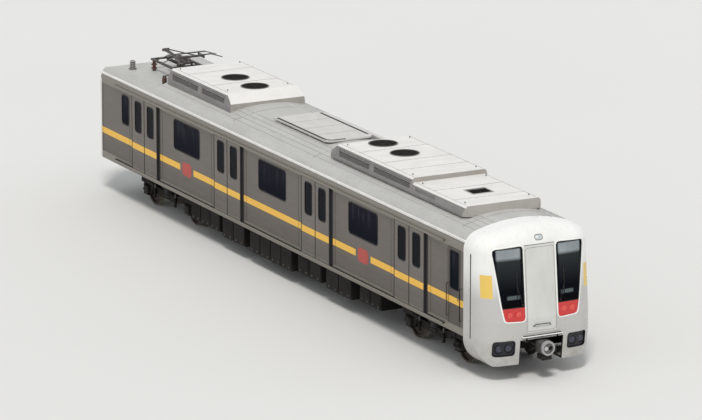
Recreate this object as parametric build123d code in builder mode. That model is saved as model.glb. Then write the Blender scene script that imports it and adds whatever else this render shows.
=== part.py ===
"""Leading car of a broad-gauge metro train: stainless body, white moulded cab end, two roof air-conditioning
units, roof pantograph, outside-hung sliding doors and two bolsterless trailer bogies.

Frame: +X runs towards the cab, +Y to the left of the car, +Z up. The origin is on the centre line, halfway
between the two coupler faces, at the height of the wheel flanges' lowest point. All sizes are millimetres.
"""

import math
import os

from build123d import *

os.makedirs("parts", exist_ok=True)

# Driving dimensions: heights are above the rail head, which is RAIL above the flange tips
RAIL = 28
HALF_LENGTH = 11120          # coupler face to the middle of the car
REAR_END = -10800            # rear end of the stainless body
CAB_END = 9700              # where the stainless body meets the moulded cab end
NOSE = 10800                 # foremost point of the cab end
HALF_WIDTH = 1550            # body side, without the doors
WALL = 80                    # side wall with its lining
SILL_BOTTOM = RAIL + 950
FLOOR = RAIL + 1130
CANTRAIL = RAIL + 3040       # top of the door openings, foot of the roof
SPRING = RAIL + 3100         # where the roof starts to curve in
ROOF_TOP = RAIL + 3720
ROOF_CORNER = 450
ROOF_SHELL = 90
GAP = 5                      # running clearance between moving pieces

# Doors: four a side, each of two leaves hung outside the body
DOOR_CENTRES = [-7970, -2970, 2030, 7030]
DOOR_HALF = 700
LEAF_OVERLAP = 80
LEAF_INNER = HALF_WIDTH + 10
LEAF_OUTER = 1600
LEAF_BOTTOM = RAIL + 1085
LEAF_TOP = RAIL + 3080
LEAF_WINDOW_CENTRE = 375
LEAF_WINDOW = (380, 820)
LEAF_WINDOW_Z = RAIL + 2560

# Windows between the doors, and a narrow one behind the rear doors
WINDOW_SIZE = (1530, 780)
WINDOW_Z = RAIL + 2560
REAR_WINDOW_X = -9250
REAR_WINDOW_WIDTH = 420
WINDOW_RADIUS = 90
GLASS = 24

# Cab side doors swing inwards against the partition
CAB_DOOR = (8960, 9540)
CAB_DOOR_THICK = 60
BULKHEAD = (8880, 8920)

# Running gear
WHEEL_R = 430
FLANGE = 28
BACK_TO_BACK = 1600
RIM_WIDTH = 127
AXLE_Z = RAIL + WHEEL_R
WHEELBASE = 2500
BOGIES = [("front", 7500), ("rear", -7500)]
JOURNAL_Y = 1075

# Pantograph well and roof units
WELL_FRONT = -7700
DECK = RAIL + 3420
UNIT_HALF = 1030
UNIT_CORNER = 200            # upright corners of the unit over the cab
UNIT_SHOULDER = 45
UNIT_FLARE = 60              # how much wider a unit is at its foot
UNIT_TOP = RAIL + 4020
LOW_UNIT_TOP = RAIL + 3900
REAR_UNIT = (-7560, -3800)
FRONT_UNIT = (1900, 6150)
CAB_UNIT = (6150, 8900)
HATCH_X = (7400, 7850)       # the air inlet in the top of the unit over the cab
HATCH_HALF = 270
FAN_R = 350
FAN_DEPTH = 230
FANS = [("1", -5700), ("2", -4550), ("3", 2650), ("4", 3800)]
PANTO_PIVOT = (-8700, RAIL + 3800)
PANTO_LOWER = 1250
PANTO_UPPER = 1450
PANTO_REST = (6, 3)          # degrees above level of the lower and upper arm when folded


def section(x):
    """Cross-section plane of the car at x: its first axis is Y and its second is Z."""
    return Plane(origin=(x, 0, 0), x_dir=(0, 1, 0), z_dir=(1, 0, 0))


def side_plane(y):
    """Plane of a side elevation at y: its first axis is X, its second is Z, and it faces -Y."""
    return Plane(origin=(0, y, 0), x_dir=(1, 0, 0), z_dir=(0, -1, 0))


def block(x, y, z, mode=Mode.ADD):
    """A box between two values on each axis."""
    with Locations(((x[0] + x[1]) / 2, (y[0] + y[1]) / 2, (z[0] + z[1]) / 2)):
        Box(x[1] - x[0], y[1] - y[0], z[1] - z[0], mode=mode)


def rod(start, end, radius, mode=Mode.ADD):
    """A round bar between two points."""
    a, b = Vector(*start), Vector(*end)
    with Locations(Plane(origin=a, z_dir=(b - a).normalized())):
        Cylinder(radius, (b - a).length, align=(Align.CENTER, Align.CENTER, Align.MIN), mode=mode)


def write(piece, name):
    """Labels a finished piece and writes it as one node."""
    piece.part.label = name
    export_step(piece.part, f"parts/{name}.step")


def arch_points(half, spring, corner, top):
    """Middle of a roof arch's corner arc, its end on the crown arc, and the crown's radius."""
    centre_y = half - corner
    rise = top - spring
    crown = (centre_y**2 + rise**2 - corner**2) / (2 * (rise - corner))
    lean = math.atan2(centre_y, crown - rise)
    tangent = (crown * math.sin(lean), top - crown + crown * math.cos(lean))
    middle_angle = (math.pi / 2 - lean) / 2
    middle = (centre_y + corner * math.cos(middle_angle), spring + corner * math.sin(middle_angle))
    return middle, tangent, crown


def arch_lines(half, spring, corner, top):
    """The curved lines of a roof arch, from its right foot over the crown to its left foot."""
    middle, tangent, _ = arch_points(half, spring, corner, top)
    ThreePointArc((half, spring), middle, tangent)
    ThreePointArc(tangent, (0, top), (-tangent[0], tangent[1]))
    ThreePointArc((-tangent[0], tangent[1]), (-middle[0], middle[1]), (-half, spring))


def body_face(inset, foot):
    """The body's cross-section above foot, inset all round."""
    half = HALF_WIDTH - inset
    with BuildLine() as outline:
        arch_lines(half, SPRING, ROOF_CORNER - inset, ROOF_TOP - inset)
        Polyline((-half, SPRING), (-half, foot), (half, foot), (half, SPRING))
    make_face(outline.edges())


# Underframe: floor, side sills, headstocks, bolsters over the bogies and the two pivot pins
FLOOR_BOTTOM = FLOOR - 110
SILL_DEPTH = 140
JACK_X = 5870
JACK_PAD = 30
COUPLER_PIVOTS = (9950, -10050)
COUPLER_Z = RAIL + 800
PIN_HALF = 110
BETWEEN_SILLS = (-HALF_WIDTH + SILL_DEPTH, HALF_WIDTH - SILL_DEPTH)
with BuildPart() as underframe:
    block((REAR_END, CAB_END), (-HALF_WIDTH, HALF_WIDTH), (FLOOR_BOTTOM, FLOOR))
    for side in (-1, 1):
        outer, inner = side * HALF_WIDTH, side * (HALF_WIDTH - SILL_DEPTH)
        block((REAR_END, CAB_END), sorted((outer, inner)), (SILL_BOTTOM, FLOOR_BOTTOM))
        # The guide rail under the door leaves
        rail_y = sorted((outer, side * LEAF_OUTER))
        block((REAR_END + 900, 8750), rail_y, (LEAF_BOTTOM - 45, LEAF_BOTTOM - GAP - 2))
    for x in (REAR_END + 100, CAB_END - 100):
        block((x - 100, x + 100), BETWEEN_SILLS, (SILL_BOTTOM, FLOOR_BOTTOM))
    for _, x in BOGIES:
        block((x - 260, x + 260), BETWEEN_SILLS, (SILL_BOTTOM, FLOOR_BOTTOM))
        rod((x, 0, SILL_BOTTOM), (x, 0, RAIL + 520), 110)
        # Jacking pads under the sills, inboard of each bogie
        for side in (-1, 1):
            pad_x, pad_y = math.copysign(JACK_X, x), side * (HALF_WIDTH - SILL_DEPTH / 2)
            pad_z = (SILL_BOTTOM - JACK_PAD, SILL_BOTTOM)
            block((pad_x - 110, pad_x + 110), (pad_y - 60, pad_y + 60), pad_z)
    # The cab floor reaches into the moulded end, and a bulkhead hangs from it behind the coupler
    block((CAB_END, NOSE - 300), (-1150, 1150), (FLOOR_BOTTOM, FLOOR))
    block((CAB_END + 60, COUPLER_PIVOTS[0] - 150), (-1150, 1150), (RAIL + 480, FLOOR_BOTTOM))
    block((COUPLER_PIVOTS[1] + 150, COUPLER_PIVOTS[1] + 190), (-200, 200), (RAIL + 640, FLOOR_BOTTOM))
    # Forks that hold the couplers' pivot pins
    for pivot, way in zip(COUPLER_PIVOTS, (1, -1)):
        for z in (COUPLER_Z - PIN_HALF - GAP - 30, COUPLER_Z + PIN_HALF + GAP):
            block(sorted((pivot - way * 150, pivot + way * 110)), (-160, 160), (z, z + 30))
write(underframe, "underframe")


# Side walls, between the door openings
def wall_spans():
    """Start and end of each side panel between the doors."""
    edges = [REAR_END + 60]
    for centre in DOOR_CENTRES:
        edges += [centre - DOOR_HALF, centre + DOOR_HALF]
    edges += [CAB_DOOR[0] - 8, CAB_DOOR[1] + 9, CAB_END]
    return list(zip(edges[0::2], edges[1::2]))


def window_places():
    """Centre and width of each side window."""
    between = [(a + b) / 2 for a, b in zip(DOOR_CENTRES, DOOR_CENTRES[1:])]
    return [(REAR_WINDOW_X, REAR_WINDOW_WIDTH)] + [(x, WINDOW_SIZE[0]) for x in between]


for name, side in (("right", -1), ("left", 1)):
    with BuildPart() as wall:
        with BuildSketch(side_plane(side * (HALF_WIDTH - WALL / 2))):
            for start, end in wall_spans():
                with Locations(((start + end) / 2, (FLOOR + CANTRAIL) / 2)):
                    Rectangle(end - start, CANTRAIL - FLOOR)
            for x, width in window_places():
                with Locations((x, WINDOW_Z)):
                    RectangleRounded(width, WINDOW_SIZE[1], WINDOW_RADIUS, mode=Mode.SUBTRACT)
        extrude(amount=WALL / 2, both=True)
    write(wall, f"side_wall_{name}")

with BuildPart() as side_window_glass:
    for side in (-1, 1):
        with BuildSketch(side_plane(side * (HALF_WIDTH - 6 - GLASS / 2))):
            for x, width in window_places():
                with Locations((x, WINDOW_Z)):
                    RectangleRounded(width - 1, WINDOW_SIZE[1] - 1, WINDOW_RADIUS)
        extrude(amount=GLASS / 2, both=True)
write(side_window_glass, "side_window_glass")

# Roof: an arched shell with long ribs, gutters and the rails that the doors hang from
RIB = (42, 26)
RIB_ANGLES = [9.5, 12, 14.5, 17]
CROWN = arch_points(HALF_WIDTH, SPRING, ROOF_CORNER, ROOF_TOP)[2]
with BuildPart() as roof_shell:
    with BuildSketch(section(REAR_END)):
        body_face(0, CANTRAIL)
        for side in (-1, 1):
            for angle in RIB_ANGLES:
                turn = math.radians(angle * side)
                with Locations((CROWN * math.sin(turn), ROOF_TOP - CROWN + CROWN * math.cos(turn))):
                    Rectangle(*RIB, rotation=-angle * side)
            with Locations((side * (HALF_WIDTH - 35), RAIL + 3300)):
                Rectangle(60, 46)
        with BuildLine():
            arch_lines(HALF_WIDTH - ROOF_SHELL, SPRING, ROOF_CORNER - ROOF_SHELL, ROOF_TOP - ROOF_SHELL)
            inner = HALF_WIDTH - ROOF_SHELL
            Polyline((-inner, SPRING), (-inner, CANTRAIL - 10), (inner, CANTRAIL - 10), (inner, SPRING))
        make_face(mode=Mode.SUBTRACT)
    extrude(amount=CAB_END - REAR_END)
    # The low deck under the pantograph
    block((REAR_END, WELL_FRONT), (-HALF_WIDTH, HALF_WIDTH), (DECK, ROOF_TOP + 60), mode=Mode.SUBTRACT)
    with BuildSketch(section(REAR_END)):
        body_face(0, CANTRAIL)
        with Locations((0, DECK - 30)):
            Rectangle(2 * HALF_WIDTH, 60, mode=Mode.INTERSECT)
    extrude(amount=WELL_FRONT - REAR_END)
    with BuildSketch(section(WELL_FRONT)):
        body_face(0, CANTRAIL)
        with Locations((0, DECK - 60 + 500)):
            Rectangle(2 * HALF_WIDTH, 1000, mode=Mode.INTERSECT)
    extrude(amount=60)
    for side in (-1, 1):
        # The cover of the door gear, above the leaves
        block((REAR_END + 900, 8750), sorted((side * (HALF_WIDTH - 20), side * (LEAF_OUTER + 6))),
              (LEAF_TOP + GAP + 3, LEAF_TOP + 60))
write(roof_shell, "roof_shell")

# Rear end wall with the gangway opening
GANGWAY_HALF = 680
GANGWAY_TOP = FLOOR + 1980
with BuildPart() as rear_end_wall:
    with BuildSketch(section(REAR_END)):
        with Locations((0, (FLOOR + CANTRAIL) / 2)):
            Rectangle(2 * HALF_WIDTH, CANTRAIL - FLOOR)
        with Locations((0, (FLOOR + GANGWAY_TOP) / 2)):
            Rectangle(2 * GANGWAY_HALF, GANGWAY_TOP - FLOOR, mode=Mode.SUBTRACT)
    extrude(amount=60)
    # Fills the roof's arch at the rear end
    inner = HALF_WIDTH - ROOF_SHELL
    with BuildSketch(section(REAR_END)):
        with BuildLine():
            arch_lines(inner, SPRING, ROOF_CORNER - ROOF_SHELL, ROOF_TOP - ROOF_SHELL)
            Polyline((-inner, SPRING), (-inner, CANTRAIL), (inner, CANTRAIL), (inner, SPRING))
        make_face()
        with Locations((0, DECK - 60 + 500)):
            Rectangle(2 * HALF_WIDTH, 1000, mode=Mode.SUBTRACT)
        with Locations((0, (FLOOR + GANGWAY_TOP) / 2)):
            Rectangle(2 * GANGWAY_HALF, GANGWAY_TOP - FLOOR, mode=Mode.SUBTRACT)
    extrude(amount=60)
write(rear_end_wall, "rear_end_wall")

# Cab partition
with BuildPart() as cab_bulkhead:
    with BuildSketch(section(BULKHEAD[0])):
        inner = HALF_WIDTH - ROOF_SHELL
        with BuildLine():
            arch_lines(inner, SPRING, ROOF_CORNER - ROOF_SHELL, ROOF_TOP - ROOF_SHELL)
            Polyline((-inner, SPRING), (-inner, FLOOR), (inner, FLOOR), (inner, SPRING))
        make_face()
        with Locations((0, RAIL + 2400)):
            RectangleRounded(560, 700, 60, mode=Mode.SUBTRACT)
    extrude(amount=BULKHEAD[1] - BULKHEAD[0])
write(cab_bulkhead, "cab_bulkhead")

# Moulded cab end: one plan, upright in the middle and leaning back above and below it, cut to the car's front
# view, with the hood rounded where the face meets the roof
NOSE_SHELL = 60
NOSE_CORNER = 620            # radius of the upright corners
NOSE_CORNER_START = -660     # where they start, from the nose line
NOSE_FACE_TURN = math.radians(4.93)     # how far the face has turned where its corner arc starts
FACE_KNEE = RAIL + 1500
FACE_LEAN = math.radians(5.74)
LOBE_KNEE = RAIL + 950
LOBE_LEAN = math.radians(-7)
LOBE_BOTTOM = RAIL + 385
HOOD_FILLET = 480


def leaning(z, lean):
    """Plane square to a stretch of the cab end that leans back by lean, through the nose line at height z."""
    return Plane(origin=(NOSE, 0, z), x_dir=(math.cos(lean), 0, math.sin(lean)),
                 z_dir=(-math.sin(lean), 0, math.cos(lean)))


def corner_point(inset, turn):
    """Point of the plan's left corner arc, where the arc has turned from straight ahead by turn."""
    corner = NOSE_CORNER - inset
    return NOSE_CORNER_START + corner * math.cos(turn), HALF_WIDTH - NOSE_CORNER + corner * math.sin(turn)


def curved_plan(inset):
    """Plan of the cab end, moved inwards by inset: an arc across the face and one round each corner."""
    half = HALF_WIDTH - inset
    rear = CAB_END - 300 - NOSE
    tip = corner_point(inset, NOSE_FACE_TURN)
    middle = corner_point(inset, math.radians(50))
    with BuildLine() as outline:
        Polyline((NOSE_CORNER_START, -half), (rear, -half), (rear, half), (NOSE_CORNER_START, half))
        ThreePointArc((NOSE_CORNER_START, half), middle, tip)
        ThreePointArc(tip, (-inset, 0), (tip[0], -tip[1]))
        ThreePointArc((tip[0], -tip[1]), (middle[0], -middle[1]), (NOSE_CORNER_START, -half))
    make_face(outline.edges())


def straight_plan(inset):
    """The same plan with each arc as a few chords, for the hollow inside."""
    half = HALF_WIDTH - inset
    rear = CAB_END - 300 - NOSE
    turns = [NOSE_FACE_TURN + (math.pi / 2 - NOSE_FACE_TURN) * step / 3 for step in range(4)]
    corner = [corner_point(inset, turn) for turn in turns]
    with BuildLine() as outline:
        Polyline((-inset, 0), *corner, (rear, half), (rear, -half), *[(x, -y) for x, y in reversed(corner)],
                 close=True)
    make_face(outline.edges())


def stretches(plan, inset):
    """The plan run along the cab end's three stretches, mitred at the two knees."""
    upper_mitre = leaning(FACE_KNEE, FACE_LEAN / 2)
    lower_mitre = leaning(LOBE_KNEE, LOBE_LEAN / 2)
    runs = [  # height on the nose line, lean, lower mitre, upper mitre
        (FACE_KNEE, FACE_LEAN, upper_mitre, None),
        (FACE_KNEE, 0, lower_mitre, upper_mitre),
        (LOBE_KNEE, LOBE_LEAN, None, lower_mitre),
    ]
    with BuildPart() as stack:
        for z, lean, low, high in runs:
            with BuildPart() as run:
                with BuildSketch(leaning(z, lean).offset(-1000)) as shape:
                    plan(inset)
                extrude(shape.sketch, amount=4000)
                if low:
                    split(bisect_by=low, keep=Keep.TOP)
                if high:
                    split(bisect_by=high, keep=Keep.BOTTOM)
            add(run.part)
    return stack.part


def front_view(inset):
    """The car's outline from the front, moved inwards by inset, with the skirt's corners rounded."""
    half = HALF_WIDTH - inset
    foot = LOBE_BOTTOM + inset
    with BuildLine() as outline:
        arch_lines(half, SPRING, ROOF_CORNER - inset, ROOF_TOP - inset)
        Line((-half, SPRING), (-half, RAIL + 1000))
        ThreePointArc((-half, RAIL + 1000), (inset - 1480, RAIL + 640), (inset - 1250, foot))
        Line((inset - 1250, foot), (1250 - inset, foot))
        ThreePointArc((1250 - inset, foot), (1480 - inset, RAIL + 640), (half, RAIL + 1000))
        Line((half, RAIL + 1000), (half, SPRING))
    make_face(outline.edges())


def nose(inset, hood=True):
    """The cab end's outer form, moved inwards by inset."""
    with BuildPart() as form:
        add(stretches(curved_plan, inset))
        with BuildSketch(section(CAB_END)) as front:
            front_view(inset)
        extrude(front.sketch, amount=NOSE - CAB_END + 100, mode=Mode.INTERSECT)
        if hood:
            creases = [
                edge for edge in edges()
                if edge.center().Z > SPRING - 5 and edge.center().X > CAB_END + 250
                and edge.length > 30 and abs(edge.tangent_at(0.5).X) < 0.99
            ]
            fillet(creases, radius=HOOD_FILLET - inset)
    return form.part


def cab_hollow():
    """The room inside the cab end, with straight sides: its front view and its side view cut the plan."""
    foot = LOBE_BOTTOM + NOSE_SHELL
    half_front = [(HALF_WIDTH - NOSE_SHELL, SPRING), (1000, RAIL + 3420), (600, RAIL + 3560)]
    half_skirt = [(1190, foot), (1400, RAIL + 640), (HALF_WIDTH - NOSE_SHELL, RAIL + 1000)]
    with BuildPart() as room:
        add(stretches(straight_plan, NOSE_SHELL))
        with BuildSketch(section(CAB_END - 100)) as front:
            with BuildLine() as outline:
                Polyline(*half_skirt, *half_front, *[(-y, z) for y, z in reversed(half_front)],
                         *[(-y, z) for y, z in reversed(half_skirt)], close=True)
            make_face(outline.edges())
        extrude(front.sketch, amount=NOSE - CAB_END + 200, mode=Mode.INTERSECT)
        with BuildSketch(side_plane(0)) as side:
            with BuildLine() as outline:
                Polyline((CAB_END - 100, 0), (NOSE + 100, 0), (NOSE + 100, SPRING), (NOSE - 240, SPRING),
                         (NOSE - 380, RAIL + 3420), (NOSE - 680, RAIL + 3600), (CAB_END - 100, RAIL + 3600),
                         close=True)
            make_face(outline.edges())
        extrude(side.sketch, amount=HALF_WIDTH, both=True, mode=Mode.INTERSECT)
    return room.part


NOSE_OUTER = nose(0)
NOSE_INNER = cab_hollow()


def screen_outline(side, gap):
    """The opening for one windscreen and the lamps below it, in the front view."""
    with BuildLine() as outline:
        Polyline((side * 450, RAIL + 3270), (side * 1245, RAIL + 3235), (side * 1060, RAIL + 1860),
                 (side * 980, RAIL + 1480), (side * 450, RAIL + 1450), close=True)
    make_face(outline.edges())
    fillet(vertices(), radius=70)
    if gap:
        offset(amount=-gap, mode=Mode.REPLACE)


SCREEN_FOOT = RAIL + 1800
HEADLAMP = (550, 370)
HEADLAMP_PLACE = (995, RAIL + 815)
ESCAPE_HALF = 405
ESCAPE_BOTTOM = RAIL + 1150
ESCAPE_TOP = RAIL + 3260
COUPLER_OPENING = (590, RAIL + 985)

with BuildPart() as cab_mask:
    add(NOSE_OUTER)
    add(NOSE_INNER, mode=Mode.SUBTRACT)
    for side in (-1, 1):
        with BuildSketch(section(CAB_END + 350)):
            screen_outline(side, 0)
        extrude(amount=1500, mode=Mode.SUBTRACT)
        with BuildSketch(section(CAB_END + 350)):
            with Locations((side * HEADLAMP_PLACE[0], HEADLAMP_PLACE[1])):
                RectangleRounded(*HEADLAMP, 60)
        extrude(amount=1500, mode=Mode.SUBTRACT)
    block((CAB_END + 300, NOSE + 100), (-ESCAPE_HALF - 8, ESCAPE_HALF + 8),
          (ESCAPE_BOTTOM - 8, ESCAPE_TOP + 16), mode=Mode.SUBTRACT)
    block((CAB_END - 100, NOSE + 100), (-COUPLER_OPENING[0], COUPLER_OPENING[0]), (0, COUPLER_OPENING[1]),
          mode=Mode.SUBTRACT)
write(cab_mask, "cab_mask")


def nose_skin(front, back, hood=True):
    """A sheet that follows the cab end's form between two depths below its surface."""
    with BuildPart() as skin:
        add(nose(front, hood))
        add(nose(back, hood), mode=Mode.SUBTRACT)
    return skin.part


GLASS_SKIN = nose_skin(12, 36)
with BuildPart() as windscreens:
    for side in (-1, 1):
        with BuildSketch(section(CAB_END + 350)):
            screen_outline(side, 1)
            with Locations((0, SCREEN_FOOT - 500)):
                Rectangle(4000, 1000, mode=Mode.SUBTRACT)
        extrude(amount=1500)
    add(GLASS_SKIN, mode=Mode.INTERSECT)
write(windscreens, "windscreens")

LAMP_SKIN = nose_skin(8, 110, hood=False)
with BuildPart() as tail_lamps:
    for side in (-1, 1):
        with BuildSketch(section(CAB_END + 350)):
            screen_outline(side, 1)
            with Locations((0, SCREEN_FOOT - 4 + 1000)):
                Rectangle(4000, 2000, mode=Mode.SUBTRACT)
        extrude(amount=1500)
    add(LAMP_SKIN, mode=Mode.INTERSECT)
write(tail_lamps, "tail_lamps")

HEADLAMP_SKIN = nose_skin(34, 110, hood=False)
with BuildPart() as headlamps:
    for side in (-1, 1):
        with BuildSketch(section(CAB_END + 350)):
            with Locations((side * HEADLAMP_PLACE[0], HEADLAMP_PLACE[1])):
                RectangleRounded(HEADLAMP[0] - 1, HEADLAMP[1] - 1, 60)
        extrude(amount=1500)
    add(HEADLAMP_SKIN, mode=Mode.INTERSECT)
write(headlamps, "headlamps")

# Escape door in the middle of the cab end, hinged at its foot so that it drops to a ramp
with BuildPart() as escape_door:
    add(NOSE_OUTER)
    add(NOSE_INNER, mode=Mode.SUBTRACT)
    with BuildSketch(section(CAB_END + 300)):
        with Locations((0, (ESCAPE_BOTTOM + ESCAPE_TOP) / 2)):
            Rectangle(2 * ESCAPE_HALF, ESCAPE_TOP - ESCAPE_BOTTOM)
    extrude(amount=1500, mode=Mode.INTERSECT)
    # Its hinge runs along the foot
    rod((NOSE - 3, -ESCAPE_HALF, ESCAPE_BOTTOM), (NOSE - 3, ESCAPE_HALF, ESCAPE_BOTTOM), 7)
write(escape_door, "escape_door")

# Cab side doors with their windows
CAB_DOOR_WINDOW = (440, 940)
CAB_DOOR_WINDOW_PLACE = ((CAB_DOOR[0] + CAB_DOOR[1]) / 2, RAIL + 2480)
for name, side in (("right", -1), ("left", 1)):
    with BuildPart() as cab_door:
        with BuildSketch(side_plane(side * (HALF_WIDTH - CAB_DOOR_THICK / 2))):
            with Locations(((CAB_DOOR[0] + CAB_DOOR[1]) / 2, (FLOOR + 6 + CANTRAIL - 6) / 2)):
                Rectangle(CAB_DOOR[1] - CAB_DOOR[0], CANTRAIL - FLOOR - 12)
        extrude(amount=CAB_DOOR_THICK / 2, both=True)
        with BuildSketch(side_plane(side * HALF_WIDTH)):
            with Locations(CAB_DOOR_WINDOW_PLACE):
                RectangleRounded(*CAB_DOOR_WINDOW, 60)
        extrude(amount=CAB_DOOR_THICK + 10, both=True, mode=Mode.SUBTRACT)
        with BuildSketch(side_plane(side * (HALF_WIDTH - CAB_DOOR_THICK / 2))):
            with Locations(CAB_DOOR_WINDOW_PLACE):
                RectangleRounded(CAB_DOOR_WINDOW[0] - 1, CAB_DOOR_WINDOW[1] - 1, 59.5)
        extrude(amount=GLASS / 2, both=True)
        for z in (FLOOR + 250, FLOOR + 900, FLOOR + 1550):
            barrel = (CAB_DOOR[0] + 6, side * (HALF_WIDTH - CAB_DOOR_THICK))
            rod((*barrel, z), (*barrel, z + 120), 12)
    write(cab_door, f"cab_door_{name}")


# Passenger door leaves
def leaf(centre, side, ahead):
    """One door leaf: side is -1 right or 1 left, ahead is 1 for the leaf towards the cab."""
    width = DOOR_HALF + LEAF_OVERLAP - GAP
    x = centre + ahead * (GAP + width / 2)
    with BuildPart() as made:
        with BuildSketch(side_plane(side * (LEAF_INNER + LEAF_OUTER) / 2)):
            with Locations((x, (LEAF_BOTTOM + LEAF_TOP) / 2)):
                Rectangle(width, LEAF_TOP - LEAF_BOTTOM)
            with Locations((centre + ahead * LEAF_WINDOW_CENTRE, LEAF_WINDOW_Z)):
                RectangleRounded(*LEAF_WINDOW, 80, mode=Mode.SUBTRACT)
        extrude(amount=(LEAF_OUTER - LEAF_INNER) / 2, both=True)
        # The pane
        with BuildSketch(side_plane(side * (LEAF_INNER + LEAF_OUTER) / 2)):
            with Locations((centre + ahead * LEAF_WINDOW_CENTRE, LEAF_WINDOW_Z)):
                RectangleRounded(LEAF_WINDOW[0] - 1, LEAF_WINDOW[1] - 1, 79.5)
        extrude(amount=GLASS / 2, both=True)
    return made


for name, side in (("right", -1), ("left", 1)):
    for number, centre in enumerate(DOOR_CENTRES, 1):
        for end, ahead in (("rear", -1), ("front", 1)):
            write(leaf(centre, side, ahead), f"door_{name}_{number}_{end}_leaf")


# Roof units
def roof_seat(x):
    """Cuts away what is under the roof's surface, so that a unit sits on the arch."""
    with BuildSketch(section(x[0] - 10)) as seat:
        body_face(0, CANTRAIL)
        for side in (-1, 1):
            for angle in RIB_ANGLES:
                turn = math.radians(angle * side)
                with Locations((CROWN * math.sin(turn), ROOF_TOP - CROWN + CROWN * math.cos(turn))):
                    Rectangle(RIB[0] + 1, RIB[1] + 1, rotation=-angle * side)
    extrude(seat.sketch, amount=x[1] - x[0] + 20, mode=Mode.SUBTRACT)


def unit_block(x, top):
    """A roof unit's casing: sides that lean in to eased shoulders, from below the roof's surface."""
    half = [  # distance from the centre line, height
        (UNIT_HALF + UNIT_FLARE, RAIL + 3500), (UNIT_HALF + UNIT_FLARE, RAIL + 3700),
        (UNIT_HALF, top - UNIT_SHOULDER), (UNIT_HALF - UNIT_SHOULDER, top),
    ]
    with BuildSketch(section(x[0])) as shape:
        with BuildLine():
            Polyline(*half, *[(-y, z) for y, z in reversed(half)], close=True)
        make_face()
    extrude(shape.sketch, amount=x[1] - x[0])


def slope_end(x, way, top, run, drop=230):
    """Slopes the end of a roof unit: way is 1 for the end towards the cab."""
    with BuildSketch(side_plane(0)) as wedge:
        with BuildLine():
            Polyline((x - way * run, top + 1), (x + way * 1, top + 1), (x + way * 1, top - drop), close=True)
        make_face()
    extrude(wedge.sketch, amount=UNIT_HALF + 200, both=True, mode=Mode.SUBTRACT)


def louvres(x, side, top):
    """A recessed panel of long slats on the unit's side."""
    low, high = RAIL + 3730, top - 90
    face = side * (UNIT_HALF + 70)
    block(x, sorted((face, side * (UNIT_HALF - 60))), (low, high), mode=Mode.SUBTRACT)
    count = 5
    step = (high - low) / count
    for i in range(count):
        z = low + step * (i + 0.5)
        block(x, sorted((side * (UNIT_HALF - 60), side * (UNIT_HALF + 8))), (z - 9, z + 9))


def casing(x, fans, slopes, low_x=None):
    """A cooling unit between two values of X, with its fan wells; low_x is the lower unit joined on ahead.

    slopes says how far the rear and the front end slope in.
    """
    with BuildPart() as made:
        unit_block(x, UNIT_TOP)
        if low_x:
            unit_block(low_x, LOW_UNIT_TOP)
            hatch_z = (LOW_UNIT_TOP - 60, LOW_UNIT_TOP + 10)
            block(HATCH_X, (-HATCH_HALF, HATCH_HALF), hatch_z, mode=Mode.SUBTRACT)
            # The upright corners towards the cab are rounded
            with BuildSketch(Plane.XY.offset(RAIL + 3400)) as plan:
                with Locations(((x[0] + low_x[1]) / 2, 0)):
                    Rectangle(low_x[1] - x[0], 2 * (UNIT_HALF + UNIT_FLARE))
                fillet(vertices().sort_by(Axis.X)[-2:], radius=UNIT_CORNER)
            extrude(plan.sketch, amount=700, mode=Mode.INTERSECT)
        roof_seat((x[0], low_x[1] if low_x else x[1]))
        slope_end(x[0], -1, UNIT_TOP, slopes[0])
        slope_end(low_x[1] if low_x else x[1], 1, LOW_UNIT_TOP if low_x else UNIT_TOP, slopes[1])
        for side in (-1, 1):
            middle = (x[0] + x[1]) / 2
            louvres((x[0] + slopes[0] + 60, middle - 90), side, UNIT_TOP)
            louvres((middle + 90, x[1] - (90 if low_x else slopes[1] + 80)), side, UNIT_TOP)
            if low_x:
                louvres((low_x[0] + 150, low_x[0] + 1200), side, LOW_UNIT_TOP)
        for fan_x in fans:
            with BuildSketch(Plane.XY.offset(UNIT_TOP - FAN_DEPTH)):
                with Locations((fan_x, 0)):
                    Circle(FAN_R)
            extrude(amount=FAN_DEPTH + 10, mode=Mode.SUBTRACT)
    return made


write(casing(REAR_UNIT, [FANS[0][1], FANS[1][1]], slopes=(130, 320)), "roof_unit_rear")
write(casing(FRONT_UNIT, [FANS[2][1], FANS[3][1]], slopes=(300, 60), low_x=CAB_UNIT), "roof_unit_front")

for name, fan_x in FANS:
    with BuildPart() as fan:
        with BuildSketch(Plane.XY.offset(UNIT_TOP - 170)):
            with Locations((fan_x, 0)):
                Circle(95)
        extrude(amount=110)
        for turn in range(5):
            angle = math.radians(72 * turn)
            out, along = (math.cos(angle), math.sin(angle), 0), (-math.sin(angle), math.cos(angle), 0)
            with BuildSketch(Plane(origin=(fan_x, 0, UNIT_TOP - 115), x_dir=along, z_dir=out)):
                Rectangle(170, 10, rotation=25)
            extrude(amount=FAN_R - 25)
    write(fan, f"condenser_fan_{name}")

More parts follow.
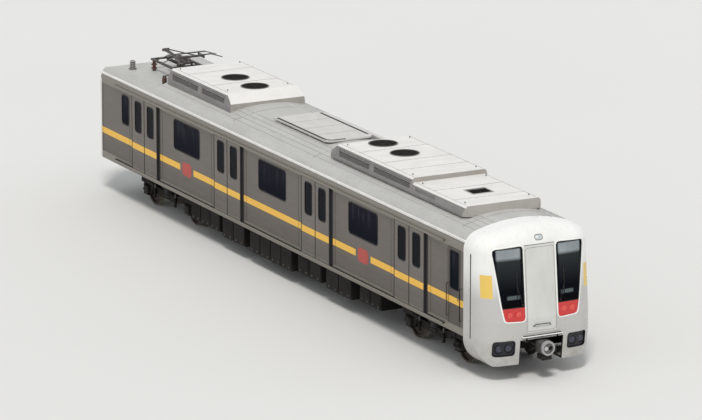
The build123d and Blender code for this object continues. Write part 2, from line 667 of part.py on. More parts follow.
# Raised walkway between the two roof units, rounded towards the cab, with a cable duct on its left
WALKWAY_X = (-2100, 900)
WALKWAY_HALF = 680
WALKWAY_CORNER = 200
WALKWAY_DECK = (ROOF_TOP + 10, ROOF_TOP + 50)
WALKWAY_FEET = [-1850, -1100, -200, 600]
DUCT_Y = (740, 860)
with BuildPart() as roof_walkway:
    with BuildSketch(Plane.XY.offset(WALKWAY_DECK[0])):
        with Locations((sum(WALKWAY_X) / 2, 0)):
            Rectangle(WALKWAY_X[1] - WALKWAY_X[0], 2 * WALKWAY_HALF)
        fillet(vertices().sort_by(Axis.X)[-2:], radius=WALKWAY_CORNER)
    extrude(amount=WALKWAY_DECK[1] - WALKWAY_DECK[0])
    for x in WALKWAY_FEET:
        block((x - 30, x + 30), (-WALKWAY_HALF + 60, WALKWAY_HALF - 60), (ROOF_TOP - 190, WALKWAY_DECK[0]))
    block((WALKWAY_X[0], FRONT_UNIT[0] - 40), DUCT_Y, (ROOF_TOP - 250, ROOF_TOP + 20))
    roof_seat((WALKWAY_X[0], FRONT_UNIT[0]))
write(roof_walkway, "roof_walkway")

# Gangway bellows on the rear end
BELLOWS_DEPTH = 240
FOLDS = 4
with BuildPart() as gangway_bellows:
    pitch = BELLOWS_DEPTH / FOLDS
    for i in range(FOLDS):
        for start, width, out in ((0, pitch / 2, 0), (pitch / 2, pitch / 2, 45)):
            with BuildSketch(section(REAR_END - (i + 1) * pitch + start)):
                with Locations((0, (FLOOR + GANGWAY_TOP) / 2 - 20)):
                    RectangleRounded(2 * (GANGWAY_HALF + 110 + out), GANGWAY_TOP - FLOOR + 180 + 2 * out, 120)
                    Rectangle(2 * (GANGWAY_HALF + 15), GANGWAY_TOP - FLOOR + 40, mode=Mode.SUBTRACT)
            extrude(amount=width)
write(gangway_bellows, "gangway_bellows")

# Seats along the walls, between the doors, and the poles beside the doors
SEAT_HALF = 1500
with BuildPart() as saloon_seats:
    for start, end in zip(DOOR_CENTRES, DOOR_CENTRES[1:]):
        middle = (start + end) / 2
        for side in (-1, 1):
            end = Plane(origin=(middle - SEAT_HALF, 0, 0), x_dir=(0, side, 0), z_dir=(side, 0, 0))
            with BuildSketch(end):
                inner = HALF_WIDTH - WALL - 2
                with BuildLine():
                    Polyline((inner, FLOOR + 250), (inner - 430, FLOOR + 250), (inner - 480, FLOOR + 430),
                             (inner - 90, FLOOR + 400), (inner - 40, FLOOR + 880), (inner, FLOOR + 880),
                             close=True)
                make_face()
            extrude(amount=side * 2 * SEAT_HALF)
write(saloon_seats, "saloon_seats")

with BuildPart() as grab_poles:
    for centre in DOOR_CENTRES:
        for ahead in (-1, 1):
            for side in (-1, 1):
                x, y = centre + ahead * (DOOR_HALF + 150), side * 900
                top = DECK - 62 if x < WELL_FRONT + 100 else RAIL + 3480
                rod((x, y, FLOOR), (x, y, top), 17)
write(grab_poles, "grab_poles")

# Driver's desk, left of the escape door, and the seat behind it
DESK_PROFILE = [  # distance behind the nose, height above the floor
    (610, 0), (290, 0), (260, 880), (630, 780), (670, 700), (610, 640),
]
DESK_Y = (470, 1150)
with BuildPart() as driver_desk:
    with BuildSketch(side_plane(DESK_Y[0])):
        with BuildLine():
            Polyline(*[(NOSE - back, FLOOR + z) for back, z in DESK_PROFILE], close=True)
        make_face()
    extrude(amount=DESK_Y[0] - DESK_Y[1])
write(driver_desk, "driver_desk")

SEAT_BACK = 9440
SEAT_Y = (580, 1040)
with BuildPart() as driver_seat:
    block((SEAT_BACK + 60, SEAT_BACK + 510), SEAT_Y, (FLOOR + 430, FLOOR + 530))
    block((SEAT_BACK, SEAT_BACK + 100), SEAT_Y, (FLOOR + 480, FLOOR + 1150))
    post = (SEAT_BACK + 290, (SEAT_Y[0] + SEAT_Y[1]) / 2)
    rod((*post, FLOOR), (*post, FLOOR + 430), 70)
write(driver_seat, "driver_seat")

# Boxes and air tanks under the floor
BOXES = [  # start x, end x, right y, left y, bottom above the rail
    (-5600, -3900, -1350, 1350, 380),
    (-3650, -2350, -1400, -200, 340),
    (-3650, -2350, 200, 1400, 420),
    (-2050, 350, -1400, 1400, 320),
    (650, 1950, -1380, 300, 400),
    (2250, 3650, -1400, -250, 360),
    (2250, 3650, 250, 1400, 360),
    (3950, 5100, -1330, 1330, 430),
]
with BuildPart() as underfloor_boxes:
    for start, end, right, left, bottom in BOXES:
        block((start, end), (right, left), (RAIL + bottom, SILL_BOTTOM))
        block((start + 40, end - 40), (max(right, -1340), min(left, 1340)), (SILL_BOTTOM, FLOOR_BOTTOM))
write(underfloor_boxes, "underfloor_boxes")

with BuildPart() as air_tanks:
    for y in (620, 1120):
        rod((700, y, RAIL + 720), (1900, y, RAIL + 720), 180)
        for x in (900, 1700):
            block((x - 25, x + 25), (y - 30, y + 30), (RAIL + 880, FLOOR_BOTTOM))
write(air_tanks, "air_tanks")


# Couplers
COUPLER_HEAD_R = 165


def coupler(pivot, face):
    """A drawbar with a head: it points along X from its pivot to its face."""
    way = 1 if face > pivot else -1
    with BuildPart() as made:
        rod((pivot, 0, COUPLER_Z - PIN_HALF), (pivot, 0, COUPLER_Z + PIN_HALF), 110)
        rod((pivot, 0, COUPLER_Z), (face - way * 330, 0, COUPLER_Z), 75)
        with BuildSketch(section(face - way * 330)):
            with Locations((0, COUPLER_Z)):
                RectangleRounded(2 * COUPLER_HEAD_R, 300, 60)
        extrude(amount=way * 250)
        rod((face - way * 80, 0, COUPLER_Z), (face, 0, COUPLER_Z), COUPLER_HEAD_R)
        # The cup beside the middle of the face takes the other coupler's cone
        rod((face - way * 60, way * 60, COUPLER_Z), (face + way, way * 60, COUPLER_Z), 55, mode=Mode.SUBTRACT)
    return made


write(coupler(COUPLER_PIVOTS[0], HALF_LENGTH), "front_coupler")
write(coupler(COUPLER_PIVOTS[1], -HALF_LENGTH), "rear_coupler")


# Wheelsets
AXLE_R = 82
JOURNAL_R = 62
HUB_R = 130


def wheelset(x):
    """An axle with two wheels, turned as one piece from its half profile."""
    inner = BACK_TO_BACK / 2
    outer = inner + RIM_WIDTH
    profile = [  # distance from the middle of the car, radius
        (0, 0), (0, AXLE_R), (inner, AXLE_R),
        (inner, WHEEL_R + FLANGE), (inner + 32, WHEEL_R), (outer, WHEEL_R),
        (outer, WHEEL_R - 55), (inner + 70, WHEEL_R - 55), (inner + 70, HUB_R),
        (outer + 12, HUB_R), (outer + 12, JOURNAL_R), (JOURNAL_Y + 80, JOURNAL_R), (JOURNAL_Y + 80, 0),
    ]
    with BuildPart() as made:
        with BuildSketch(section(x)):
            with BuildLine():
                Polyline(*[(y, AXLE_Z + r) for y, r in profile], close=True)
            make_face()
        revolve(axis=Axis((x, 0, AXLE_Z), (0, 1, 0)))
        mirror(about=Plane.XZ)
    return made


number = 0
for name, centre in BOGIES:
    for x in (centre + WHEELBASE / 2, centre - WHEELBASE / 2):
        number += 1
        write(wheelset(x), f"wheelset_{number}")


# Bogie frames: cranked side frames, two cross tubes, axle boxes on rubber springs, brakes
def bogie_frame(centre):
    """A bogie's frame with its axle boxes and brakes."""
    half = WHEELBASE / 2
    with BuildPart() as made:
        for side in (-1, 1):
            with BuildSketch(side_plane(side * 1075)):
                with BuildLine():
                    Polyline((centre - half - 330, RAIL + 600), (centre - half - 330, RAIL + 730),
                             (centre - half + 330, RAIL + 740), (centre - 480, RAIL + 600),
                             (centre + 480, RAIL + 600), (centre + half - 330, RAIL + 740),
                             (centre + half + 330, RAIL + 730), (centre + half + 330, RAIL + 600),
                             (centre + half - 260, RAIL + 600), (centre + 520, RAIL + 440),
                             (centre - 520, RAIL + 440), (centre - half + 260, RAIL + 600), close=True)
                make_face()
            extrude(amount=95, both=True)
            for ahead in (-1, 1):
                x = centre + ahead * half
                # Axle box with a blind bore for the journal, between two rubber springs
                block((x - 140, x + 140), sorted((side * 985, side * 1190)), (AXLE_Z - 130, AXLE_Z + 120))
                block((x - 290, x + 290), sorted((side * 1000, side * 1150)), (AXLE_Z - 60, AXLE_Z - 10))
                rod((x, side * 980, AXLE_Z), (x, side * 1170, AXLE_Z), 67, mode=Mode.SUBTRACT)
                for push in (-1, 1):
                    spring = (x + push * 215, side * JOURNAL_Y)
                    rod((*spring, AXLE_Z - 20), (*spring, RAIL + 610), 68)
        for ahead in (-1, 1):
            rod((centre + ahead * 330, -1000, RAIL + 520), (centre + ahead * 330, 1000, RAIL + 520), 90)
            for side in (-1, 1):
                # Tread brake: cylinder on the cross tube and a block close to the wheel
                x = centre + ahead * 330
                shoe = centre + ahead * (half - WHEEL_R - 12)
                cylinder_x = sorted((x, shoe - ahead * 70))
                shoe_x = sorted((shoe - ahead * 80, shoe - ahead * 10))
                block(cylinder_x, sorted((side * 790, side * 930)), (RAIL + 400, RAIL + 560))
                block(shoe_x, sorted((side * 835, side * 925)), (RAIL + 340, RAIL + 560))
    return made


SPRING_Y = 1040
SPRING_PROFILE = [  # radius, height: seat on the frame, rubber bag, top plate under the sill
    (0, RAIL + 600), (180, RAIL + 600), (180, RAIL + 700), (250, RAIL + 760), (250, RAIL + 830),
    (180, RAIL + 890), (180, SILL_BOTTOM - 6), (0, SILL_BOTTOM - 6),
]
for name, centre in BOGIES:
    write(bogie_frame(centre), f"bogie_frame_{name}")
    with BuildPart() as springs:
        for side in (-1, 1):
            with BuildSketch(section(centre)):
                with BuildLine():
                    Polyline(*[(side * (SPRING_Y + r), z) for r, z in SPRING_PROFILE], close=True)
                make_face()
            revolve(axis=Axis((centre, side * SPRING_Y, 0), (0, 0, 1)))
    write(springs, f"air_springs_{name}")

# Pantograph: base frame on insulators, lower arm, upper arm and collector head
PIVOT_X, PIVOT_Z = PANTO_PIVOT
LOW, HIGH = (math.radians(a) for a in PANTO_REST)
ELBOW = (PIVOT_X - PANTO_LOWER * math.cos(LOW), PIVOT_Z + PANTO_LOWER * math.sin(LOW))
TIP = (ELBOW[0] + PANTO_UPPER * math.cos(HIGH), ELBOW[1] + PANTO_UPPER * math.sin(HIGH))
FRAME_Z = (RAIL + 3690, RAIL + 3740)


def insulator(x, y):
    """A ribbed post from the deck to the frame."""
    rod((x, y, DECK), (x, y, FRAME_Z[0]), 45)
    for z in (DECK + 60, DECK + 160):
        rod((x, y, z), (x, y, z + 40), 78)


with BuildPart() as pantograph_base:
    for y in (-420, 420):
        block((-9950, -8350), (y - 30, y + 30), FRAME_Z)
        for x in (-9800, -8500):
            insulator(x, y)
    for x in (-9920, -8700, -8380):
        block((x - 30, x + 30), (-450, 450), FRAME_Z)
    for side in (-1, 1):
        block((PIVOT_X - 40, PIVOT_X + 40), sorted((side * 160, side * 190)), (FRAME_Z[1], PIVOT_Z + 40))
write(pantograph_base, "pantograph_base")

with BuildPart() as pantograph_lower_arm:
    rod((PIVOT_X, -150, PIVOT_Z), (PIVOT_X, 150, PIVOT_Z), 30)
    rod((PIVOT_X, 0, PIVOT_Z), (ELBOW[0], 0, ELBOW[1]), 38)
    rod((ELBOW[0], -60, ELBOW[1]), (ELBOW[0], 60, ELBOW[1]), 42)
write(pantograph_lower_arm, "pantograph_lower_arm")

with BuildPart() as pantograph_upper_arm:
    for side in (-1, 1):
        rod((ELBOW[0], side * 66, ELBOW[1]), (ELBOW[0], side * 96, ELBOW[1]), 40)
        rod((ELBOW[0], side * 80, ELBOW[1]), (TIP[0], side * 300, TIP[1]), 16)
    rod((TIP[0], -330, TIP[1]), (TIP[0], 330, TIP[1]), 16)
write(pantograph_upper_arm, "pantograph_upper_arm")

with BuildPart() as pantograph_head:
    for x in (TIP[0] - 180, TIP[0] + 180):
        block((x - 20, x + 20), (-560, 560), (TIP[1] + 60, TIP[1] + 90))
        for side in (-1, 1):
            rod((x, side * 555, TIP[1] + 75), (x, side * 900, TIP[1] - 40), 13)
    for side in (-1, 1):
        block((TIP[0] - 190, TIP[0] + 190), sorted((side * 350, side * 375)), (TIP[1] - 25, TIP[1] + 62))
write(pantograph_head, "pantograph_head")
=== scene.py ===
"""Looks of a metro driving trailer car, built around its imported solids.

Metres, +X towards the cab, +Y to the left of the car, +Z up. Heights are given above the rail head, which
lies RAIL above the wheel flanges' lowest point.
"""

import math

import bmesh
import bpy
from mathutils import Matrix, Vector


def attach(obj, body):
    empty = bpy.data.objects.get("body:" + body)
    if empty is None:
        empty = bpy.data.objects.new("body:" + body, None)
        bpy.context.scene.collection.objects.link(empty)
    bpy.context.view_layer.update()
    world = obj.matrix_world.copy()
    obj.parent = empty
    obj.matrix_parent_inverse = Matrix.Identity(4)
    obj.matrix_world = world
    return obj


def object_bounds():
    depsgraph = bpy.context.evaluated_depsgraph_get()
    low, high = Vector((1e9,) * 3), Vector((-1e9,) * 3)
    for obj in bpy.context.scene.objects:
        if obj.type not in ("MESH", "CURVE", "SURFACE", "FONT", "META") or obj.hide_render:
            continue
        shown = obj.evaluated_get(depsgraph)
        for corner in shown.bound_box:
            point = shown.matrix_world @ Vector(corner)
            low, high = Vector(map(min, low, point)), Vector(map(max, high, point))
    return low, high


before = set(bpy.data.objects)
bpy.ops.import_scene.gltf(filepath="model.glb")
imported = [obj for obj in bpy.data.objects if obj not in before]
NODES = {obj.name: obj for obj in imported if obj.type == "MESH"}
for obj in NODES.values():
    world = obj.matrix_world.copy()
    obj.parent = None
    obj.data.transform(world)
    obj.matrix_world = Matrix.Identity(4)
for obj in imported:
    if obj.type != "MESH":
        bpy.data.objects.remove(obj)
CAD_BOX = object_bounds()

# Driving dimensions, as in the solids. A pair of places along an axis ends in _X, _Y or _Z. The size of an
# opening, a lamp or a marker is its width and height.
RAIL = 0.028
HALF_WIDTH = 1.550
LEAF_INNER = 1.560
LEAF_OUTER = 1.600
REAR_END = -10.800
COUPLER_FACE = 11.120
CAB_END = 9.700
NOSE = 10.800
FLOOR = RAIL + 1.130
SILL_BOTTOM = RAIL + 0.950
ROOF_TOP = RAIL + 3.720
DECK = RAIL + 3.420
DOOR_CENTRES = (-7.970, -2.970, 2.030, 7.030)
DOOR_HALF = 0.700
LEAF_OVERLAP = 0.080
LEAF_BOTTOM = RAIL + 1.085
LEAF_TOP = RAIL + 3.080
LEAF_WINDOW = (0.380, 0.820)
LEAF_WINDOW_CENTRE = 0.375
WINDOW_Z = RAIL + 2.560
# Middle and width of the windows of a side
WINDOWS = ((-9.250, 0.420), (-5.470, 1.530), (-0.470, 1.530), (4.530, 1.530))
WINDOW_HEIGHT = 0.780
CAB_DOOR_X = (8.960, 9.540)
CAB_DOOR_THICK = 0.060
CAB_DOOR_WINDOW = (0.440, 0.940)
CAB_DOOR_WINDOW_Z = RAIL + 2.480
SIDES = (("right", -1), ("left", 1))
ENDS = (("rear", -1), ("front", 1))
BOGIES = (("front", 7.500), ("rear", -7.500))
WHEELBASE = 2.500
WHEEL_RADIUS = 0.430
AXLE_Z = RAIL + WHEEL_RADIUS
FANS = (-5.700, -4.550, 2.650, 3.800)
FAN_RADIUS = 0.350
UNIT_TOP = RAIL + 4.020
LOW_UNIT_TOP = RAIL + 3.900
UNIT_HALF = 1.030
LOUVRE_FACE = UNIT_HALF - 0.060
GUTTER_Z = RAIL + 3.300
MASK_JOINT_SHADE_X = 10.050
HATCH_X = (7.400, 7.850)
HATCH_HALF = 0.270
WALKWAY_X = (-2.100, 0.900)
WALKWAY_HALF = 0.680
WALKWAY_CORNER = 0.200
WALKWAY_TOP = ROOF_TOP + 0.050
DUCT_X = (-2.100, 1.860)
DUCT_Y = (0.740, 0.860)
SCREEN_FOOT = RAIL + 1.800
HEADLAMP = (0.550, 0.370)
# Distance from the middle and height of a headlamp, and half width and top of the opening for the coupler
HEADLAMP_PLACE = (0.995, RAIL + 0.815)
COUPLER_OPENING = (0.590, RAIL + 0.985)

# Painted marks, the windscreens' shades and their painted sheen
STRIPE = (RAIL + 1.645, RAIL + 1.815)
STRIPE_BORDER = 0.014
MARKERS = (-5.470, 4.530)
MARKER_GAP = 0.400
MARKER_SIZE = (0.550, 0.360)
# The yellow patch on the cab end's corners, from the middle
PATCH_Y = (1.250, 1.465)
PATCH_Z = (RAIL + 2.060, RAIL + 2.620)
PATCH_START = 10.000
BLIND_Z = (RAIL + 2.930, RAIL + 3.010)
LOW_SHEEN_Z = (RAIL + 2.000, RAIL + 2.090)
SCREEN_COVER = 0.93
PANE_COVER = 0.975

# Materials by name
FINISHES = {}


def linear(red, green, blue):
    """A colour written as 0 to 255, as Blender's linear values."""
    values = (red / 255, green / 255, blue / 255)
    return tuple(v / 12.92 if v <= 0.04045 else ((v + 0.055) / 1.055) ** 2.4 for v in values) + (1.0,)


class Nodes:
    """Short calls for the nodes of a material or the sky, which end in one shader."""

    def __init__(self, owner, shader):
        owner.use_nodes = True
        self.tree = owner.node_tree
        self.shader = self.tree.nodes[shader]

    def plug(self, value, socket):
        """Links a node's output to a socket, or writes a plain value there."""
        if isinstance(value, bpy.types.NodeSocket):
            self.tree.links.new(value, socket)
        else:
            socket.default_value = value

    def give(self, name, value):
        """Fills a socket of the shader."""
        self.plug(value, self.shader.inputs[name])

    def node(self, kind, output, inputs=None, **settings):
        """Adds a node, fills its sockets and gives one of its outputs."""
        made = self.tree.nodes.new("ShaderNode" + kind)
        for name, value in settings.items():
            setattr(made, name, value)
        for name, value in (inputs or {}).items():
            self.plug(value, made.inputs[name])
        return made.outputs[output]

    def spread(self, value, low, high, out_low=0.0, out_high=1.0):
        """Maps low..high to out_low..out_high, clamped."""
        inputs = {"Value": value, "From Min": low, "From Max": high, "To Min": out_low, "To Max": out_high}
        return self.node("MapRange", "Result", inputs)

    def combine(self, kind, a, b=0.0):
        return self.node("Math", 0, {0: a, 1: b}, operation=kind)


class Finish(Nodes):
    """A procedural material, whose colour is laid in coats."""

    def __init__(self, name, colour, roughness, metallic=0.0):
        self.material = bpy.data.materials.new(name)
        super().__init__(self.material, "Principled BSDF")
        self.give("Roughness", roughness)
        self.give("Metallic", metallic)
        self.colour = linear(*colour)
        self.place = self.node("TexCoord", "Object")

    def noise(self, scale, stretch=(1, 1, 1)):
        place = self.node("Mapping", "Vector", {"Vector": self.place, "Scale": stretch})
        return self.node("TexNoise", "Fac", {"Vector": place, "Scale": scale, "Detail": 4.0})

    def axis(self, name):
        return self.node("SeparateXYZ", name, {0: self.place})

    def away(self, name):
        """Distance from the middle along an axis."""
        return self.combine("ABSOLUTE", self.axis(name))

    def times(self, value, *others):
        """The product of several values."""
        for other in others:
            value = self.combine("MULTIPLY", value, other)
        return value

    def band(self, value, low, high, edge=0.003):
        """1 between two limits of a value, 0 outside."""
        rise = self.spread(value, low - edge, low + edge)
        fall = self.spread(value, high - edge, high + edge, 1.0, 0.0)
        return self.times(rise, fall)

    def mix(self, share, colour):
        """Lays a colour, written as 0 to 255, over the present one."""
        inputs = {"Factor": share, "A": self.colour, "B": linear(*colour)}
        self.colour = self.node("Mix", "Result", inputs, data_type="RGBA")

    def vary(self, scale, colour, amount, stretch=(1, 1, 1), low=0.35, high=0.65):
        """Blends in another colour by noise."""
        self.mix(self.spread(self.noise(scale, stretch), low, high, 0.0, amount), colour)

    def rough(self, scale, low, high, stretch=(1, 1, 1)):
        """Varies the roughness by noise."""
        self.give("Roughness", self.spread(self.noise(scale, stretch), 0.3, 0.7, low, high))

    def bump(self, scale, strength, stretch=(1, 1, 1), distance=0.002):
        inputs = {"Height": self.noise(scale, stretch), "Strength": strength, "Distance": distance}
        self.give("Normal", self.node("Bump", "Normal", inputs))

    def done(self):
        self.give("Base Color", self.colour)
        return self.material


def grain(finish, tint):
    """Horizontal brushing of a stainless sheet."""
    finish.vary(18, tint, 0.35, (0.05, 1, 9))
    finish.vary(1.1, tint, 0.245, (0.5, 1, 1))
    finish.bump(60, 0.12, (0.03, 1, 6), 0.0008)


# How metallic the sides are, and the streaks on them, grime low down and painted shade under the gutter: the
# heights where they begin and are fullest, their share and their colour
STEEL_METALLIC = 0.55
GRIME_AND_SHADE = ((1.30, 1.00, 0.55, (66, 57, 49)), (2.85, 3.10, 0.30, (84, 79, 74)))


def side_steel(name, colour, tint):
    """Stainless side: grime above the sill, painted shade below the gutter, and the painted stripe on the
    outside.
    """
    finish = Finish(name, colour, 0.42, STEEL_METALLIC)
    grain(finish, tint)
    finish.rough(9, 0.36, 0.50, (0.2, 1, 3))
    height, along = finish.axis("Z"), finish.axis("X")
    finish.mix(finish.spread(height, RAIL + 1.70, RAIL + 1.45, 0.0, 0.42), (84, 77, 70))
    streak = finish.spread(finish.noise(7, (1, 1, 0.12)), 0.35, 0.7)
    # Grime near the sill, and painted shade under the gutter
    for begin, full, share, dark in GRIME_AND_SHADE:
        finish.mix(finish.times(finish.spread(height, RAIL + begin, RAIL + full, 0.0, share), streak), dark)
    outside = finish.spread(finish.away("Y"), HALF_WIDTH - 0.005, HALF_WIDTH - 0.002)
    shown = finish.times(outside, finish.band(along, REAR_END + 0.06, CAB_END))
    for centre in MARKERS:
        gap = finish.band(along, centre - MARKER_GAP, centre + MARKER_GAP)
        shown = finish.times(shown, finish.combine("SUBTRACT", 1.0, gap))
    border = finish.times(shown, finish.band(height, STRIPE[0] - STRIPE_BORDER, STRIPE[1] + STRIPE_BORDER))
    finish.mix(border, (80, 68, 46))
    finish.mix(finish.times(shown, finish.band(height, *STRIPE)), (243, 190, 70))
    bare = finish.combine("SUBTRACT", 1.0, border)
    finish.give("Metallic", finish.times(bare, STEEL_METALLIC))
    return finish.done()


def mask_paint():
    """White moulding, brightest on the hood and darkened below it as painted shade, with a yellow patch on
    each upright corner.
    """
    paint = Finish("cab_white", (241, 241, 239), 0.28)
    paint.vary(1.6, (230, 230, 226), 0.5, (1, 1, 0.6))
    height = paint.axis("Z")
    # Painted shade: the face darkens below the hood
    paint.mix(paint.spread(height, RAIL + 2.75, RAIL + 2.00, 0.0, 0.85), (180, 179, 176))
    paint.vary(11, (198, 194, 186), 0.2, (1, 1, 0.2), 0.5, 0.8)
    grime = paint.spread(height, RAIL + 1.15, RAIL + 0.50, 0.0, 0.55)
    patchy = paint.spread(paint.noise(5), 0.3, 0.7)
    paint.mix(paint.times(grime, patchy), (138, 132, 123))
    patch = paint.times(paint.band(paint.away("Y"), *PATCH_Y), paint.band(height, *PATCH_Z),
                        paint.spread(paint.axis("X"), PATCH_START, PATCH_START + 0.01))
    paint.mix(patch, (232, 196, 96))
    paint.rough(6, 0.24, 0.36)
    paint.give("Coat Weight", 0.25)
    return paint.done()


def glass(name, colour, cover):
    """Tinted glass: nearly black, with the inside just showing."""
    finish = Finish(name, colour, 0.08)
    finish.vary(2, (15, 18, 30), 0.5)
    finish.give("Alpha", cover)
    finish.give("Specular IOR Level", 0.03)
    return finish


def side_glass():
    """Side windows: deep blue below, with a painted reflection above: violet grey and pale streaks."""
    pane = glass("side_glass", (5, 10, 26), PANE_COVER)
    # Painted reflection on the upper part of the pane
    upper = pane.spread(pane.axis("Z"), RAIL + 2.35, RAIL + 2.75, 0.0, 0.5)
    pane.mix(upper, (34, 32, 44))
    streak = pane.spread(pane.noise(3, (2.5, 1, 0.4)), 0.52, 0.62, 0.0, 0.35)
    pane.mix(pane.times(upper, streak), (84, 84, 96))
    pane.give("Specular IOR Level", 0.015)
    return pane.done()


def screen_glass():
    """Windscreen: a pale blind behind the top, a painted reflection over the upper glass, a painted sheen low
    down, black at the foot.
    """
    pane = glass("windscreen_glass", (9, 12, 18), SCREEN_COVER)
    height, across = pane.axis("Z"), pane.away("Y")
    inside = pane.band(across, 0.520, 1.140, 0.020)
    # Painted reflection paling the upper glass
    upper_reflection = pane.spread(height, RAIL + 2.20, RAIL + 2.95, 0.0, 0.20)
    pane.mix(pane.times(upper_reflection, inside), (104, 112, 110))
    soft = pane.spread(pane.noise(3, (1, 1, 0.5)), 0.3, 0.7, 0.75, 1.0)
    blind = pane.times(pane.spread(height, *BLIND_Z), inside, soft,
                       pane.spread(height, RAIL + 3.20, RAIL + 3.23, 1.0, 0.0))
    pane.mix(blind, (158, 165, 168))
    # Painted sheen: a pale band low down
    low = pane.times(pane.band(height, *LOW_SHEEN_Z, 0.012), pane.band(across, 0.560, 0.900, 0.030), 0.55)
    pane.mix(low, (120, 132, 130))
    foot = pane.spread(height, SCREEN_FOOT + 0.12, SCREEN_FOOT + 0.16, 1.0, 0.0)
    pane.mix(foot, (9, 9, 11))
    cover = pane.combine("MAXIMUM", pane.combine("MAXIMUM", blind, foot), SCREEN_COVER)
    pane.give("Alpha", cover)
    return pane.done()


# Stretch and limits of the noise that lays stains, and of the one that lays sparser flecks
STAINS = ((1, 1, 1), 0.5, 0.8)
FLECKS = ((1, 1, 1), 0.55, 0.8)


def plain(key, colour, roughness, *tints, metallic=0.0, bump=None, coat=0.0, sheen=0.5):
    """A finish of one colour; each tint holds a noise scale, a colour, a share and its stretch and limits."""
    finish = Finish(key, colour, roughness, metallic)
    for tint in tints:
        finish.vary(*tint)
    if bump:
        finish.bump(*bump)
    finish.give("Coat Weight", coat)
    finish.give("Specular IOR Level", sheen)
    FINISHES[key] = finish.done()


def make_materials():
    # Painted shade: the sides' steel is darker than bare stainless, for the shade the side stands in
    FINISHES["steel"] = side_steel("body_steel", (116, 110, 105), (96, 89, 83))
    FINISHES["leaf_steel"] = side_steel("leaf_steel", (122, 116, 111), (103, 96, 91))
    # Painted shade: the cab door's steel is darker still, for the shade in its recess
    FINISHES["cab_door_shaded_steel"] = side_steel("cab_door_shaded_steel", (92, 87, 82), (72, 67, 62))
    brushed = Finish("plain_steel", (142, 138, 130), 0.40, 0.6)
    grain(brushed, (120, 114, 105))
    FINISHES["plain_steel"] = brushed.done()
    FINISHES["mask"] = mask_paint()
    FINISHES["glass"] = side_glass()
    FINISHES["leaf_glass"] = glass("leaf_glass", (8, 10, 18), PANE_COVER).done()
    FINISHES["screen"] = screen_glass()

    # Roof
    plain("roof", (188, 188, 185), 0.62, (2.2, (166, 165, 161), 0.5, (0.35, 1.2, 1)),
          (14, (146, 143, 137), 0.3, (1, 0.25, 1), 0.5, 0.75), (40, (200, 199, 196), 0.2), bump=(90, 0.15))
    plain("roof_seam", (112, 109, 103), 0.7, (9, (88, 84, 78), 0.5))
    plain("gutter", (236, 235, 233), 0.5, (6, (204, 203, 200), 0.45, (0.4, 1, 1)))
    plain("unit_top", (230, 229, 226), 0.55, (3, (214, 212, 207), 0.45, (1, 0.6, 1)),
          (26, (186, 183, 176), 0.25, *FLECKS))
    plain("unit_side", (136, 134, 134), 0.6, (5, (118, 115, 114), 0.5, (0.5, 1, 2)), sheen=0.3)
    plain("unit_end", (168, 164, 159), 0.6, (4, (150, 145, 138), 0.5, (1, 0.7, 0.4)))
    # Painted shade in recesses: the louvres, the fan wells and the hatch's floor
    plain("recess_shade", (40, 38, 37), 0.8, (12, (58, 54, 51), 0.5))
    plain("walk", (208, 207, 204), 0.6, (4, (194, 192, 187), 0.5, (0.5, 1, 1)), (160, (184, 182, 176), 0.3),
          bump=(260, 0.3))

    # Cab end
    plain("escape", (214, 214, 211), 0.30, (1.8, (201, 201, 197), 0.6, (1, 1, 0.5)),
          (12, (182, 178, 170), 0.2, (1, 1, 0.2), 0.5, 0.8))
    plain("seam", (150, 147, 141), 0.5, (9, (120, 116, 110), 0.5))
    plain("lip", (244, 244, 242), 0.24, (6, (232, 231, 227), 0.4))
    plain("red_lens", (206, 44, 42), 0.16, (30, (176, 28, 30), 0.4), coat=0.5)
    plain("red_lamp", (226, 88, 80), 0.12, (60, (204, 58, 54), 0.4))
    plain("marker", (184, 68, 58), 0.45, (14, (164, 54, 48), 0.5))
    plain("recess", (18, 18, 30), 0.40, (20, (32, 32, 48), 0.5))
    plain("lens", (46, 49, 68), 0.12, (40, (30, 32, 46), 0.6, (1, 1, 0.3)), coat=0.4)
    plain("lamp_glass", (196, 202, 204), 0.15, (30, (176, 184, 188), 0.5))

    # Rubber, metal and paint of the fittings
    plain("rubber", (24, 24, 25), 0.75, (30, (44, 43, 42), 0.5), bump=(200, 0.15))
    plain("black", (34, 33, 32), 0.6, (8, (54, 50, 45), 0.6), (40, (76, 67, 56), 0.25, *FLECKS),
          sheen=0.2)
    plain("under", (32, 30, 28), 0.78, (2.5, (48, 44, 39), 0.7), (22, (66, 57, 47), 0.3, *STAINS),
          bump=(60, 0.25), sheen=0.12)
    plain("case", (36, 35, 34), 0.65, (3, (29, 27, 25), 0.7), (24, (60, 53, 44), 0.3, (1, 1, 1), 0.55, 0.85),
          sheen=0.12)
    plain("tread", (176, 170, 160), 0.28, (30, (140, 130, 118), 0.4), metallic=0.9)
    plain("web", (62, 50, 42), 0.8, (9, (44, 37, 33), 0.7), (40, (88, 66, 50), 0.35, *STAINS),
          bump=(80, 0.3))
    plain("cast", (104, 102, 99), 0.48, (10, (72, 69, 66), 0.6), metallic=0.4, bump=(120, 0.3))
    plain("ring", (176, 176, 178), 0.35, (18, (150, 149, 148), 0.5), metallic=0.3)
    plain("chrome", (206, 206, 204), 0.2, (50, (182, 180, 176), 0.3), metallic=0.9)
    plain("arm", (60, 57, 55), 0.5, (12, (88, 79, 70), 0.5), metallic=0.3)
    plain("insulator", (92, 54, 45), 0.25, (12, (70, 40, 35), 0.5))
    plain("arrester", (150, 148, 144), 0.4, (9, (120, 117, 112), 0.5))
    plain("carbon", (50, 50, 52), 0.4, (50, (80, 78, 76), 0.5, (1, 0.2, 1)), metallic=0.2)
    plain("bellows", (34, 34, 36), 0.8, (5, (56, 54, 52), 0.7), bump=(90, 0.3))

